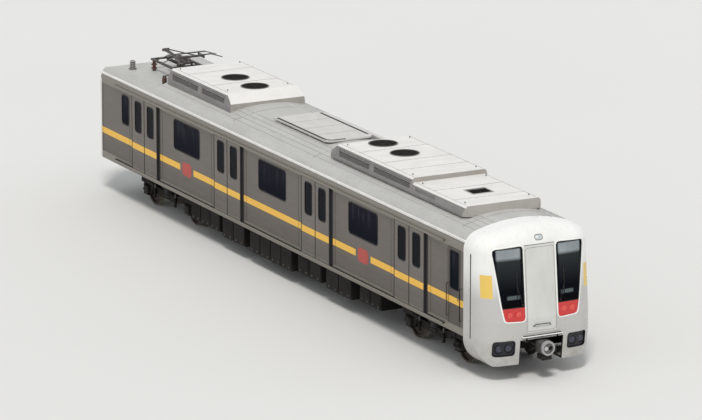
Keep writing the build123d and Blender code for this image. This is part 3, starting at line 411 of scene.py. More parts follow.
    # Inside
    plain("lining", (150, 148, 140), 0.6, (5, (130, 127, 118), 0.5))
    plain("seat", (176, 178, 180), 0.3, (30, (150, 152, 154), 0.4, (0.2, 1, 1)), metallic=0.8)
    plain("desk", (70, 73, 78), 0.55, (40, (56, 58, 62), 0.5), bump=(300, 0.2))
    plain("cloth", (38, 42, 50), 0.9, (220, (62, 66, 76), 0.6), bump=(400, 0.5))


make_materials()


def add(name, data):
    """Puts an object with this data into the scene."""
    made = bpy.data.objects.new(name, data)
    bpy.context.scene.collection.objects.link(made)
    return made


def touching(verts):
    """The faces that meet at any of the points."""
    return {face for vert in verts for face in vert.link_faces}


class Piece:
    """One mesh made of many small solids, each with its own material."""

    def __init__(self, name, slot, body="car_body"):
        self.name, self.body, self.slot = name, body, slot
        self.mesh = bmesh.new()
        self.used = []

    def paint(self, faces, material, smooth=False):
        if material not in self.used:
            self.used.append(material)
        for face in faces:
            face.material_index = self.used.index(material)
            face.smooth = smooth

    def box(self, x, y, z, material, bevel=0.0):
        """A box between two values on each axis, with its edges eased by bevel."""
        low = Vector([min(pair) for pair in (x, y, z)])
        size = Vector([abs(pair[1] - pair[0]) for pair in (x, y, z)])
        place = Matrix.Translation(low + size / 2) @ Matrix.Diagonal((*size, 1))
        new = bmesh.ops.create_cube(self.mesh, size=1, matrix=place)["verts"]
        if bevel:
            edges = {edge for vert in new for edge in vert.link_edges}
            new = bmesh.ops.bevel(
                self.mesh, geom=list(edges), offset=bevel, segments=1, affect="EDGES")["verts"]
        self.paint(touching(new), material)

    def rod(self, start, end, radius, material, radius_end=None, sides=16):
        """A round bar or cone between two points."""
        start, end = Vector(start), Vector(end)
        along = end - start
        turn = along.to_track_quat("Z", "Y").to_matrix().to_4x4()
        place = Matrix.Translation((start + end) / 2) @ turn
        new = bmesh.ops.create_cone(
            self.mesh, cap_ends=True, segments=sides, radius1=radius,
            radius2=radius if radius_end is None else radius_end, depth=along.length, matrix=place)["verts"]
        faces = touching(new)
        self.paint(faces, material)
        for face in faces:
            face.smooth = len(face.verts) == 4

    def post(self, place, heights, radius, material, radius_end=None, sides=16):
        """An upright bar or cone between two heights."""
        self.rod((*place, heights[0]), (*place, heights[1]), radius, material, radius_end, sides)

    def tube(self, points, radius, material):
        """A bent bar through the points, with a ball at each bend."""
        for start, end in zip(points, points[1:]):
            self.rod(start, end, radius, material, sides=10)
        for point in points[1:-1]:
            self.ball(point, radius, material)

    def handle(self, foot, out, up, radius, material):
        """A bow handle from its foot, with its reach out and the way up to its other end."""
        foot, out, up = Vector(foot), Vector(out), Vector(up)
        self.tube([foot, foot + out, foot + out + up, foot + up], radius, material)

    def ball(self, centre, radius, material, squash=(1, 1, 1), rings=6, sides=10):
        """A ball or, squashed along an axis, a domed lens."""
        place = Matrix.Translation(centre) @ Matrix.Diagonal((*squash, 1))
        new = bmesh.ops.create_uvsphere(
            self.mesh, u_segments=sides, v_segments=rings, radius=radius, matrix=place)["verts"]
        self.paint(touching(new), material, smooth=True)

    def strip(self, rows, material, smooth=False):
        """Quads between closed rows of points of equal length."""
        made = [[self.mesh.verts.new(point) for point in row] for row in rows]
        count = len(rows[0])
        faces = []
        for low, high in zip(made, made[1:]):
            for i in range(count):
                j = (i + 1) % count
                faces.append(self.mesh.faces.new((low[i], low[j], high[j], high[i])))
        self.paint(faces, material, smooth)
        return made

    def skin(self, lines, place, material, smooth=False):
        """A strip through outlines, each given with the depth at which place lays it."""
        return self.strip([[place(u, v, w) for u, v in line] for line, w in lines], material, smooth)

    def cap(self, rows, material):
        """Closes each row of points with one face."""
        self.paint([self.mesh.faces.new(row) for row in rows], material)

    def bar(self, rows, material):
        """A solid through closed rows of points, with both ends closed."""
        made = self.strip(rows, material)
        self.cap((made[0], made[-1]), material)

    def prism(self, outline, place, low, high, material):
        """A solid plate between two depths."""
        self.bar([[place(u, v, w) for u, v in outline] for w in (low, high)], material)

    def ring(self, outer, inner, place, low, high, material):
        """A frame between two outlines with the same number of points."""
        self.skin(((outer, low), (outer, high), (inner, high), (inner, low), (outer, low)), place, material)

    def hoop(self, centre, radii, place, low, high, material, steps=40):
        """A round frame between an outer and an inner radius."""
        outer, inner = (circle(*centre, radius, steps) for radius in radii)
        self.ring(outer, inner, place, low, high, material)

    def finish(self):
        bmesh.ops.remove_doubles(self.mesh, verts=self.mesh.verts, dist=1e-6)
        bmesh.ops.recalc_face_normals(self.mesh, faces=self.mesh.faces)
        data = bpy.data.meshes.new(self.name)
        self.mesh.to_mesh(data)
        self.mesh.free()
        for material in self.used:
            data.materials.append(FINISHES[material])
        made = add(self.name, data)
        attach(made, self.body)


def rounded(cx, cy, width, height, radius, steps=5):
    """Outline of a rectangle with rounded corners."""
    points = []
    for corner, (sx, sy) in enumerate(((1, 1), (-1, 1), (-1, -1), (1, -1))):
        for step in range(steps + 1):
            angle = math.radians(90 * corner + 90 * step / steps)
            points.append((cx + sx * (width / 2 - radius) + radius * math.cos(angle),
                           cy + sy * (height / 2 - radius) + radius * math.sin(angle)))
    return points


def circle(cx, cy, radius, steps=24):
    return [(cx + radius * math.cos(math.tau * i / steps), cy + radius * math.sin(math.tau * i / steps))
            for i in range(steps)]


def between(a, b, share):
    """A point on the way from one point to another."""
    return (a[0] + (b[0] - a[0]) * share, a[1] + (b[1] - a[1]) * share)


def sides_of(outline):
    """The runs between neighbouring points of a closed outline."""
    return zip(outline, outline[1:] + outline[:1])


def resample(outline, count):
    """The same closed outline with a given number of evenly spaced points."""
    lengths = [0]
    for a, b in sides_of(outline):
        lengths.append(lengths[-1] + math.dist(a, b))
    points, index = [], 0
    for i in range(count):
        target = lengths[-1] * i / count
        while lengths[index + 1] < target:
            index += 1
        a, b = outline[index], outline[(index + 1) % len(outline)]
        share = (target - lengths[index]) / max(lengths[index + 1] - lengths[index], 1e-9)
        points.append(between(a, b, share))
    return points


def borders(centre, size, outer, inner, steps=5, count=0):
    """Two rounded outlines along a rectangle; outer and inner hold what is added to its size and a radius."""
    wide, high = size
    made = [rounded(*centre, wide + grow, high + grow, radius, steps) for grow, radius in (outer, inner)]
    return [resample(line, count) for line in made] if count else made


def above(low, high):
    """Two heights above the rail head."""
    return (RAIL + low, RAIL + high)


def about(middle, half):
    """The two values that lie half away from a middle."""
    return (middle - half, middle + half)


# Places of an outline point (u, v) at depth w
def on_side(u, v, w):
    return (u, w, v)


def on_front(u, v, w):
    return (w, u, v)


def on_top(u, v, w):
    return (u, v, w)


# Materials of the solids
def dress(node, material, *rules):
    """Gives a solid its material; a rule is another one and a test of a face's centre, normal and points."""
    made = NODES[node]
    mesh = made.data
    mesh.materials.clear()
    mesh.materials.append(FINISHES[material])
    for name, _ in rules:
        mesh.materials.append(FINISHES[name])
    for polygon in mesh.polygons:
        polygon.material_index = 0
        points = [mesh.vertices[i].co for i in polygon.vertices]
        for index, (_, test) in enumerate(rules, 1):
            if test(polygon.center, polygon.normal, points):
                polygon.material_index = index
                break


def is_pane(middle):
    """Test for the pane inside a door: all its points lie near the door's middle plane."""
    return lambda centre, normal, points: all(abs(abs(p.y) - middle) < 0.0135 for p in points)


def faces_inside(centre, normal, points):
    """Test for a face of a side wall or door that looks into the car."""
    return normal.y * centre.y < 0 and abs(normal.y) > 0.5


def inside_mask(centre, normal, points):
    """Test for a face of the cab end that looks into the cab."""
    out = Vector((centre.x - 9.600, centre.y, max(0.0, centre.z - RAIL - 2.400)))
    return normal.dot(out.normalized()) < -0.6


def in_fan_well(centre, normal, points):
    """Test for the wall and the floor of a well that a roof fan sits in."""
    if centre.z > UNIT_TOP - 0.01:
        return False
    return any(math.hypot(centre.x - fan, centre.y) < FAN_RADIUS + 0.01 for fan in FANS)


def on_sill(centre, normal, points):
    """Test for the outer face of the underframe's side sills."""
    return abs(centre.y) > HALF_WIDTH - 0.002 and abs(normal.y) > 0.5 and abs(centre.x) < NOSE + 0.01


# Solids of one material
WHOLE = (
    ("side_window_glass", "glass"), ("rear_end_wall", "plain_steel"), ("cab_bulkhead", "lining"),
    ("escape_door", "escape"), ("windscreens", "screen"), ("tail_lamps", "red_lens"), ("headlamps", "recess"),
    ("roof_walkway", "walk"), ("gangway_bellows", "bellows"), ("saloon_seats", "seat"),
    ("grab_poles", "chrome"), ("driver_desk", "desk"), ("driver_seat", "cloth"),
    ("underfloor_boxes", "case"), ("air_tanks", "under"),
    ("front_coupler", "cast"), ("rear_coupler", "cast"),
    ("pantograph_lower_arm", "arm"), ("pantograph_upper_arm", "arm"))


def dress_solids():
    for node, material in WHOLE:
        dress(node, material)
    for side, _ in SIDES:
        dress(f"side_wall_{side}", "steel", ("lining", faces_inside))
        dress(f"cab_door_{side}", "cab_door_shaded_steel",
              ("glass", is_pane(HALF_WIDTH - CAB_DOOR_THICK / 2)),
              ("lining", faces_inside))
        for number, centre in enumerate(DOOR_CENTRES, 1):
            for end, ahead in ENDS:
                outer = centre + ahead * (DOOR_HALF + LEAF_OVERLAP)
                meeting = centre + ahead * 0.005
                dress(f"door_{side}_{number}_{end}_leaf", "leaf_steel",
                      ("leaf_glass", is_pane((LEAF_INNER + LEAF_OUTER) / 2)),
                      ("plain_steel", faces_inside),
                      ("rubber", lambda c, n, p, x=outer: abs(c.x - x) < 0.003),
                      ("rubber", lambda c, n, p, x=meeting: abs(c.x - x) < 0.003))
    dress("underframe", "under",
          ("plain_steel", on_sill),
          ("lining", lambda c, n, p: abs(c.z - FLOOR) < 0.002 and n.z > 0.5))
    dress("roof_shell", "roof",
          ("gutter", lambda c, n, p: abs(c.z - GUTTER_Z) < 0.025 and abs(c.y) > 1.484),
          ("plain_steel", lambda c, n, p: c.z < GUTTER_Z - 0.02 and abs(c.y) > 1.480),
          ("lining", lambda c, n, p: n.z < -0.3))
    dress("cab_mask", "mask",
          ("black", lambda c, n, p: abs(c.y) < COUPLER_OPENING[0] + 1e-4 and c.z < COUPLER_OPENING[1] + 1e-3),
          ("lining", inside_mask))
    for node in ("roof_unit_rear", "roof_unit_front"):
        dress(node, "unit_side",
              # Painted shade on the louvre faces, in the fan wells and on the hatch's floor
              ("recess_shade", in_fan_well),
              ("recess_shade", lambda c, n, p: abs(n.y) > 0.9 and abs(c.y) < LOUVRE_FACE + 0.01),
              ("recess_shade", lambda c, n, p: n.z > 0.9 and abs(c.z - LOW_UNIT_TOP + 0.060) < 0.002),
              ("unit_top", lambda c, n, p: n.z > 0.6 and c.z > LOW_UNIT_TOP - 0.09),
              ("unit_end", lambda c, n, p: n.x > 0.3))
    for number in range(1, 5):
        dress(f"condenser_fan_{number}", "black")
        dress(f"wheelset_{number}", "web", ("tread", is_tread(number)))
    for name, _ in BOGIES:
        dress(f"bogie_frame_{name}", "under")
        dress(f"air_springs_{name}", "rubber")
    dress("pantograph_base", "arm",
          ("insulator", lambda c, n, p: c.z < RAIL + 3.688))
    dress("pantograph_head", "cast",
          ("carbon", lambda c, n, p: n.z > 0.9 and abs(c.y) < 0.57))


def is_tread(number):
    """Test for the running face of a wheel: its points lie at tread or flange radius."""
    centre = BOGIES[(number - 1) // 2][1]
    x = centre + (WHEELBASE / 2 if number % 2 else -WHEELBASE / 2)
    return lambda c, n, points: all(math.hypot(p.x - x, p.z - AXLE_Z) > WHEEL_RADIUS - 0.012 for p in points)


dress_solids()


# Side walls: window gaskets, door seals widened with painted shadow, seams, blank markers, steps and rails
PANELS = ((REAR_END + 0.1, -8.95), (-6.99, -3.95), (-1.99, 1.05), (3.01, 6.05), (8.02, 8.93))


def side_trim(name, side):
    trim = Piece(f"side_trim_{name}", "rubber_black")
    face = side * HALF_WIDTH

    def plate(x, z, out, material, back=0.0, bevel=0.0):
        """A plate on the side's face that stands out a little and reaches back into it."""
        trim.box(x, (face - side * back, face + side * out), z, material, bevel)

    for x, width in WINDOWS:
        lines = borders((x, WINDOW_Z), (width, WINDOW_HEIGHT), (0.056, 0.115), (-0.012, 0.085))
        trim.ring(*lines, on_side, face - side * 0.028, face + side * 0.0035, "rubber")
    for centre in DOOR_CENTRES:
        # Rubber seal strips beside each doorway, made wide enough to stand in for the painted shadow of the
        # leaf's edge too
        for ahead in (-1, 1):
            start = centre + ahead * (DOOR_HALF + LEAF_OVERLAP - 0.035)
            plate((start, start + ahead * 0.125), (LEAF_BOTTOM, LEAF_TOP), 0.004, "rubber")
        plate(about(centre, DOOR_HALF), (FLOOR - 0.012, FLOOR + 0.004), 0.006, "chrome", 0.05, 0.002)
    for start, end in PANELS:
        for x in (start + 0.04, end - 0.04):
            plate(about(x, 0.004), above(1.16, 3.02), 0.0015, "case")
        for z in above(1.142, 3.042):
            plate((start, end), about(z, 0.007), 0.003, "plain_steel")
    plate((REAR_END, REAR_END + 0.055), (SILL_BOTTOM, RAIL + 3.15), 0.012, "gutter", 0.01, 0.004)
    # The joint at the mask's rear edge, widened with painted shade for its gap
    plate(about(MASK_JOINT_SHADE_X, 0.020), above(0.98, 3.07), 0.002, "black")
    trim.finish()
    for number, x in enumerate(MARKERS, 1):
        marker = Piece(f"side_marker_{name}_{number}", "lamp_red")
        outline = rounded(x, sum(STRIPE) / 2, *MARKER_SIZE, 0.12, 6)
        marker.prism(outline, on_side, face, face + side * 0.003, "marker")
        marker.finish()


# Door leaves: gasket, rubber edges, pressed border
def leaf_trim(name, side, number, centre, end, ahead):
    leaf = f"door_{name}_{number}_{end}_leaf"
    trim = Piece(f"{leaf}_trim", "rubber_black", leaf)
    face, back = side * LEAF_OUTER, side * LEAF_INNER
    window = (centre + ahead * LEAF_WINDOW_CENTRE, WINDOW_Z)
    lines = borders(window, LEAF_WINDOW, (0.044, 0.100), (-0.010, 0.075))
    for y, out in ((face, side), (back, -side)):
        trim.ring(*lines, on_side, y - out * 0.008, y + out * 0.004, "rubber")
    outer = centre + ahead * (DOOR_HALF + LEAF_OVERLAP)
    meeting = centre + ahead * 0.0045
    for x in ((outer - ahead * 0.034, outer + ahead * 0.001), (meeting, meeting + ahead * 0.016)):
        trim.box(x, (back, face + side * 0.0015), (LEAF_BOTTOM + 0.002, LEAF_TOP - 0.002), "rubber", 0.001)
    border = (meeting + ahead * 0.02, outer - ahead * 0.04)
    for z in (LEAF_BOTTOM + 0.05, LEAF_TOP - 0.05):
        trim.box(border, (face, face + side * 0.002), about(z, 0.006), "plain_steel")
    trim.finish()


def cab_door_trim(name, side):
    door = f"cab_door_{name}"
    trim = Piece(f"{door}_trim", "rubber_black", door)
    face = side * HALF_WIDTH
    rear, front = CAB_DOOR_X
    lines = borders(((rear + front) / 2, CAB_DOOR_WINDOW_Z), CAB_DOOR_WINDOW, (0.040, 0.080), (-0.010, 0.055))
    trim.ring(*lines, on_side, face - side * 0.012, face + side * 0.003, "rubber")
    trim.handle((front - 0.07, face, RAIL + 1.78), (0, side * 0.035, 0), (0, 0, 0.10), 0.008, "cast")
    for x in (rear + 0.009, front - 0.009):
        trim.box(about(x, 0.005), (face, face + side * 0.0015), (FLOOR + 0.02, RAIL + 3.02), "rubber")
    trim.finish()

    rails = Piece(f"cab_door_rails_{name}", "panto_dark")
    for x in (rear - 0.035, front + 0.050):
        rails.handle((x, face, RAIL + 1.30), (0, side * 0.045, 0), (0, 0, 0.80), 0.009, "case")
    step_x = (rear + 0.10, front - 0.10)
    tread = RAIL + 0.52
    rails.box(step_x, (side * 1.47, side * 1.30), (tread, tread + 0.022), "black", 0.004)
    for x in step_x:
        rails.box(about(x, 0.008), (side * 1.43, side * 1.39), (tread + 0.01, SILL_BOTTOM + 0.01), "black")
    rails.finish()


for side_name, side_sign in SIDES:
    side_trim(side_name, side_sign)
    cab_door_trim(side_name, side_sign)
    for door_number, door_x in enumerate(DOOR_CENTRES, 1):
        for end_name, end_sign in ENDS:
            leaf_trim(side_name, side_sign, door_number, door_x, end_name, end_sign)


# Cab end: lips, seals, lamps, wipers and step. The face's planes and curves are as in the solids.
FACE_KNEE = RAIL + 1.500
LOBE_KNEE = RAIL + 0.950
FACE_LEAN = math.radians(5.74)
LOBE_LEAN = math.radians(7)
NOSE_CORNER = 0.620
CORNER_START = NOSE - 0.660
FACE_TURN = math.radians(4.93)
TIP = (CORNER_START + NOSE_CORNER * math.cos(FACE_TURN),
       HALF_WIDTH - NOSE_CORNER + NOSE_CORNER * math.sin(FACE_TURN))
FACE_RISE = NOSE - TIP[0]
FACE_RADIUS = (TIP[1] ** 2 + FACE_RISE ** 2) / (2 * FACE_RISE)
# Corners of a windscreen with its lamps: distance from the middle, height above the rail, and the ways in
# which each moves where the outline grows
CORNERS = ((0.450, 3.270, -1, 1), (1.245, 3.235, 1, 1), (1.060, 1.860, 1, 0), (0.980, 1.480, 1, -1),
           (0.450, 1.450, -1, -1))
SCREEN_CORNER = 0.070
# Growth and depth of the rows of a windscreen's lip and seal
LIP = ((0.040, -0.004), (0.016, 0.012), (0.002, 0.010), (0.002, -0.030))
SEAL = ((0.0, -0.009), (-0.022, -0.009), (-0.022, -0.013))


def nose_x(y, z):
    """Where the cab end's face lies, below its rounded hood."""
    y = abs(y)
    if y <= TIP[1]:
        back = math.sqrt(FACE_RADIUS ** 2 - y ** 2) - FACE_RADIUS
    else:
        back = math.sqrt(max(NOSE_CORNER ** 2 - (y - HALF_WIDTH + NOSE_CORNER) ** 2, 0)) + CORNER_START - NOSE
    upper = back / math.cos(FACE_LEAN) - (z - FACE_KNEE) * math.tan(FACE_LEAN)
    lower = back / math.cos(LOBE_LEAN) - (LOBE_KNEE - z) * math.tan(LOBE_LEAN)
    return NOSE + min(back, upper, lower)


def on_nose(u, v, w):
    return (nose_x(u, v) + w, u, v)


def hood_place(u, v, w):
    """A point on the cab end, its rounded hood too, met from straight ahead."""
    hit, place, _, _ = NODES["cab_mask"].ray_cast(Vector((NOSE + 1, u, v)), Vector((-1, 0, 0)))
    return (place.x + w, u, v) if hit else on_nose(u, v, w)


def fillet_outline(corners, radius, steps=5):
    """A closed outline whose corners are rounded."""
    points = []
    count = len(corners)
    for i, corner in enumerate(corners):
        here = Vector(corner)
        before = (Vector(corners[i - 1]) - here).normalized()
        after = (Vector(corners[(i + 1) % count]) - here).normalized()
        half = before.angle(after) / 2
        reach = radius / math.tan(half)
        centre = here + (before + after).normalized() * radius / math.sin(half)
        start, end = here + before * reach - centre, here + after * reach - centre
        sweep = start.angle_signed(end)
        for step in range(steps + 1):
            turn = Matrix.Rotation(-sweep * step / steps, 2)
            points.append(tuple(centre + turn @ start))
    return points


def finer(outline, most):
    """Divides an outline's long runs, so that it can follow a curved face."""
    points = []
    for a, b in sides_of(outline):
        count = max(1, math.ceil(math.dist(a, b) / most))
        points += [between(a, b, i / count) for i in range(count)]
    return points


def screen_outline(side, grow):
    """Outline of a windscreen with its lamps below, moved outwards by grow."""
    corners = [(y + out * grow, RAIL + z + up * grow) for y, z, out, up in CORNERS]
    outline = fillet_outline(corners, SCREEN_CORNER + grow)
    return resample([(side * u, v) for u, v in outline], 64)


def cab_face():
    lips = Piece("windscreen_lips", "body_white")
    seals = Piece("windscreen_seals", "rubber_black")
    lamps = Piece("tail_lamp_lenses", "lamp_red")
    lamp_z = (SCREEN_FOOT + RAIL + 1.450) / 2
    for side in (-1, 1):
        lips.skin([(screen_outline(side, grow), w) for grow, w in LIP], on_nose, "lip", smooth=True)
        seals.skin([(screen_outline(side, grow), w) for grow, w in SEAL], on_nose, "rubber")
        foot = rounded(side * 0.757, SCREEN_FOOT, 0.570, 0.014, 0.003, 1)
        seals.prism(finer(foot, 0.08), on_nose, -0.020, -0.003, "rubber")
        for y in (0.620, 0.850):
            place = (side * y, lamp_z)
            x = nose_x(*place)
            lamps.rod((x - 0.020, *place), (x - 0.005, *place), 0.094, "red_lens", sides=32)
            lamps.ball((x - 0.010, *place), 0.078, "red_lamp", squash=(0.16, 1, 1), rings=8, sides=28)
    for piece in (lips, seals, lamps):
        piece.finish()


def cab_lamps():
    lamps = Piece("headlamp_lenses", "lamp_clear")
    radius = 0.098
    for side in (-1, 1):
        centre = (side * HEADLAMP_PLACE[0], HEADLAMP_PLACE[1])
        outer, inner = borders(centre, HEADLAMP, (0.036, 0.085), (-0.006, 0.062), count=56)
        lamps.skin(((outer, -0.003), (inner, 0.005), (inner, -0.033)), on_nose, "rubber")
        for y in (0.868, 1.110):
            place = (side * y, centre[1])
            x = nose_x(*place) - 0.036
            lamps.hoop(place, (radius + 0.014, radius), on_front, x - 0.03, x + 0.014, "case", 24)
            lamps.ball((x - 0.006, *place), radius, "lens", squash=(0.22, 1, 1), rings=8, sides=28)
    lamps.finish()


def cab_fittings():
    door = Piece("escape_door_trim", "rubber_black", "escape_door")
    outer, inner = borders((0, RAIL + 2.190), (0.790, 2.030), (0, 0.020), (-0.018, 0.020), count=60)
    door.skin(((outer, -0.001), (outer, 0.002), (inner, 0.002), (inner, -0.001)), on_nose, "seam")
    low, high = RAIL + 1.300, RAIL + 1.345
    x = nose_x(0, low)
    grip = ((x, -0.24, low), (x + 0.035, -0.18, high), (x + 0.035, 0.18, high), (x, 0.24, low))
    door.tube(grip, 0.010, "case")
    door.finish()

    step = Piece("cab_step_and_lamp", "body_white")
    back = NOSE - 0.06
    step.box((back, NOSE + 0.050), (-0.54, 0.54), above(1.045, 1.078), "lip", 0.006)
    step.box((back, NOSE + 0.046), (-0.52, 0.52), above(1.0785, 1.084), "case", 0.001)
    step.box((back, NOSE + 0.042), (-0.53, 0.53), above(1.026, 1.044), "rubber", 0.002)
    for y in (-0.42, 0.42):
        step.box((back, NOSE + 0.02), about(y, 0.015), above(0.990, 1.03), "case", 0.003)
    outer, inner = borders((0, RAIL + 3.430), (0.230, 0.140), (0, 0.065), (-0.034, 0.050), count=40)
    lines = ((outer, -0.004), (outer, 0.006), (inner, 0.006), (inner, 0.002))
    step.cap(step.skin(lines, hood_place, "seam")[-1:], "lamp_glass")
    step.finish()

    wipers = Piece("windscreen_wipers", "rubber_black")
    for side in (-1, 1):
        y = side * 0.640
        foot = on_nose(side * 0.520, SCREEN_FOOT + 0.060, 0.018)
        wipers.rod(foot, on_nose(y, RAIL + 2.30, 0.026), 0.008, "black", sides=8)
        wipers.ball(foot, 0.024, "black")
        wipers.rod(on_nose(y, RAIL + 2.00, 0.003), on_nose(y, RAIL + 2.66, 0.003), 0.009, "rubber", sides=6)
        wipers.rod(on_nose(y, RAIL + 2.14, 0.016), on_nose(y, RAIL + 2.52, 0.016), 0.006, "black", sides=6)
    wipers.finish()


cab_face()
cab_lamps()
cab_fittings()


# Roof: painted shadow lines along the walkway's edges and beside the duct, unit seams and guards, panel seams
ROOF_SEAMS = (-3.20, 1.30, 9.15)
SEAM_REACH = 1.30
SEAM_SECTION = ((-0.006, -0.003), (-0.006, 0.002), (0.006, 0.002), (0.006, -0.003))


def roof_z(x, y):
    """Height of the roof's skin at a place."""
    hit, place, _, _ = NODES["roof_shell"].ray_cast(Vector((x, y, UNIT_TOP + 1)), Vector((0, 0, -1)))
    return place.z if hit else ROOF_TOP


def ribbon(piece, line, width, z, material):
    """A thin flat band along points on a level face."""
    rows = []
    for i, point in enumerate(line):
        before, after = Vector(line[max(i - 1, 0)]), Vector(line[min(i + 1, len(line) - 1)])
        across = (after - before).normalized().orthogonal() * width / 2
        a, b = Vector(point) + across, Vector(point) - across
        rows.append([(*a, z), (*a, z + 0.006), (*b, z + 0.006), (*b, z)])
    piece.bar(rows, material)


def roof_fittings():
    roof = Piece("roof_fittings", "roof_grey")
    inset = 0.060
    edge, front = WALKWAY_HALF - inset, WALKWAY_X[1] - inset
    turn = WALKWAY_CORNER
    line = [(WALKWAY_X[0] + 0.10, -edge)]
    for step in range(9):
        angle = math.radians(90 * step / 8)
        line.append((front - turn + turn * math.sin(angle), -edge + turn - turn * math.cos(angle)))
    line.append((front, -0.12))
    # Painted shadow: black lines along the walkway's edges, for the gap under the raised panel
    ribbon(roof, line, 0.070, WALKWAY_TOP - 0.001, "black")
    ribbon(roof, [(WALKWAY_X[0] + 0.10, edge), (front - turn, edge)], 0.060, WALKWAY_TOP - 0.001, "black")
    for i in range(1, 4):
        x = WALKWAY_X[0] + (WALKWAY_X[1] - WALKWAY_X[0]) * i / 4
        ribbon(roof, [(x, -edge + 0.04), (x, edge - 0.04)], 0.006, WALKWAY_TOP - 0.004, "roof_seam")
    # Painted shade: black strips on the roof on each side of the duct
    for y in (DUCT_Y[0] - 0.028, DUCT_Y[1] + 0.028):
        z = roof_z(-0.6, y)
        roof.box((DUCT_X[0] + 0.02, DUCT_X[1] - 0.02), about(y, 0.022), (z - 0.01, z + 0.004), "black")
    ys = [-SEAM_REACH + 2 * SEAM_REACH * i / 26 for i in range(27)]
    for x in ROOF_SEAMS:
        roof.bar([[(x + ahead, y, roof_z(x, y) + up) for ahead, up in SEAM_SECTION] for y in ys], "roof_seam")
    roof.finish()


def unit_fittings(name, start, end, top, seams, fans):
    """Seams, lifting eyes and fan guards on a unit's top."""
    unit = Piece(f"{name}_fittings", "unit_grey")
    half = UNIT_HALF - 0.045
    seam_z = (top - 0.001, top + 0.003)
    for x in seams:
        unit.box(about(x, 0.004), (-half, half), seam_z, "roof_seam")
    for side in (-1, 1):
        unit.box((start + 0.03, end - 0.06), about(side * (half - 0.030), 0.003), seam_z, "roof_seam")
        for x in (start + 0.22, end - 0.26):
            unit.hoop((x, top + 0.022), (0.020, 0.011), on_side, *about(side * 0.88, 0.006), "cast", 12)
    for x in fans:
        rim = (FAN_RADIUS + 0.028, FAN_RADIUS - 0.004)
        unit.hoop((x, 0), rim, on_top, top - 0.002, top + 0.012, "roof_seam")
        for radius in (0.07, 0.13, 0.19, 0.25, 0.31):
            unit.hoop((x, 0), (radius + 0.004, radius - 0.004), on_top, *about(top, 0.004), "black", 32)
        for turn in range(4):
            angle = math.pi * turn / 4
            reach = Vector((math.cos(angle), math.sin(angle), 0)) * (FAN_RADIUS + 0.005)
            centre = Vector((x, 0, top))
            unit.rod(centre - reach, centre + reach, 0.004, "black", sides=6)
    unit.finish()


def hatch_frame():
    hatch = Piece("unit_hatch_frame", "unit_grey")
    length = HATCH_X[1] - HATCH_X[0]
    lines = borders((sum(HATCH_X) / 2, 0), (length, 2 * HATCH_HALF), (0.060, 0.030), (-0.006, 0.010), steps=3)
    hatch.ring(*lines, on_top, LOW_UNIT_TOP - 0.004, LOW_UNIT_TOP + 0.010, "unit_end")
    slat_z = (LOW_UNIT_TOP - 0.045, LOW_UNIT_TOP - 0.010)
    for i in range(7):
        x = HATCH_X[0] + length * (i + 0.5) / 7
        hatch.box(about(x, 0.006), (-HATCH_HALF, HATCH_HALF), slat_z, "case")
    hatch.finish()


roof_fittings()
unit_fittings("rear_unit", -7.43, -4.12, UNIT_TOP, (-6.60, -5.12), FANS[:2])
unit_fittings("front_unit", 2.20, 6.14, UNIT_TOP, (3.22, 4.45, 5.30), FANS[2:])
unit_fittings("cab_unit", 6.17, 8.80, LOW_UNIT_TOP, (7.10, 8.15), ())
hatch_frame()


# Pantograph: springs and a cable on the base, and the gear beside it
RIBS = 5
POST = (-8.05, -0.95)
ARRESTER = (-10.25, -0.85)


def insulator_stack(piece, place, base, pitch, radius, material):
    """Ribbed insulator standing on a level face."""
    piece.post(place, (base, base + RIBS * pitch), radius * 0.6, material, sides=20)
    for i in range(RIBS):
        z = base + i * pitch
        piece.post(place, (z, z + pitch * 0.6), radius, material, radius * 0.75, 20)


def pantograph_fittings():
    base = Piece("pantograph_base_fittings", "panto_dark")
    spring_z = RAIL + 3.775
    for y in (-0.14, 0.14):
        base.rod((-9.55, y, spring_z), (-8.95, y, spring_z), 0.030, "arm", sides=14)
        for i in range(16):
            x = -9.53 + i * 0.036
            base.rod((x, y, spring_z), (x + 0.014, y, spring_z), 0.042, "carbon", sides=14)
    base.box((-8.62, -8.42), (-0.32, -0.18), above(3.74, 3.86), "arm", 0.01)
    cable = ((-8.40, -0.40, RAIL + 3.72), (-8.20, -0.55, RAIL + 3.70), (-8.05, -0.90, RAIL + 3.68))
    base.tube(cable, 0.014, "carbon")
    insulator_stack(base, POST, DECK, 0.048, 0.075, "insulator")
    base.post(POST, (DECK + 0.24, DECK + 0.27), 0.05, "arm", sides=18)
    base.post(ARRESTER, (DECK, DECK + 0.02), 0.11, "cast", sides=24)
    insulator_stack(base, ARRESTER, DECK + 0.02, 0.045, 0.085, "arrester")
    base.box((-10.55, -10.35), (0.55, 0.95), (DECK, DECK + 0.14), "unit_side", 0.012)
    base.finish()


pantograph_fittings()


# Bogies: axle box covers, springs, dampers, pipes and plates
# Places of a pipe's points along a bogie, and their heights above the rail
PIPE = ((-1.5, 0.76), (-0.55, 0.64), (0.55, 0.64), (1.5, 0.76))


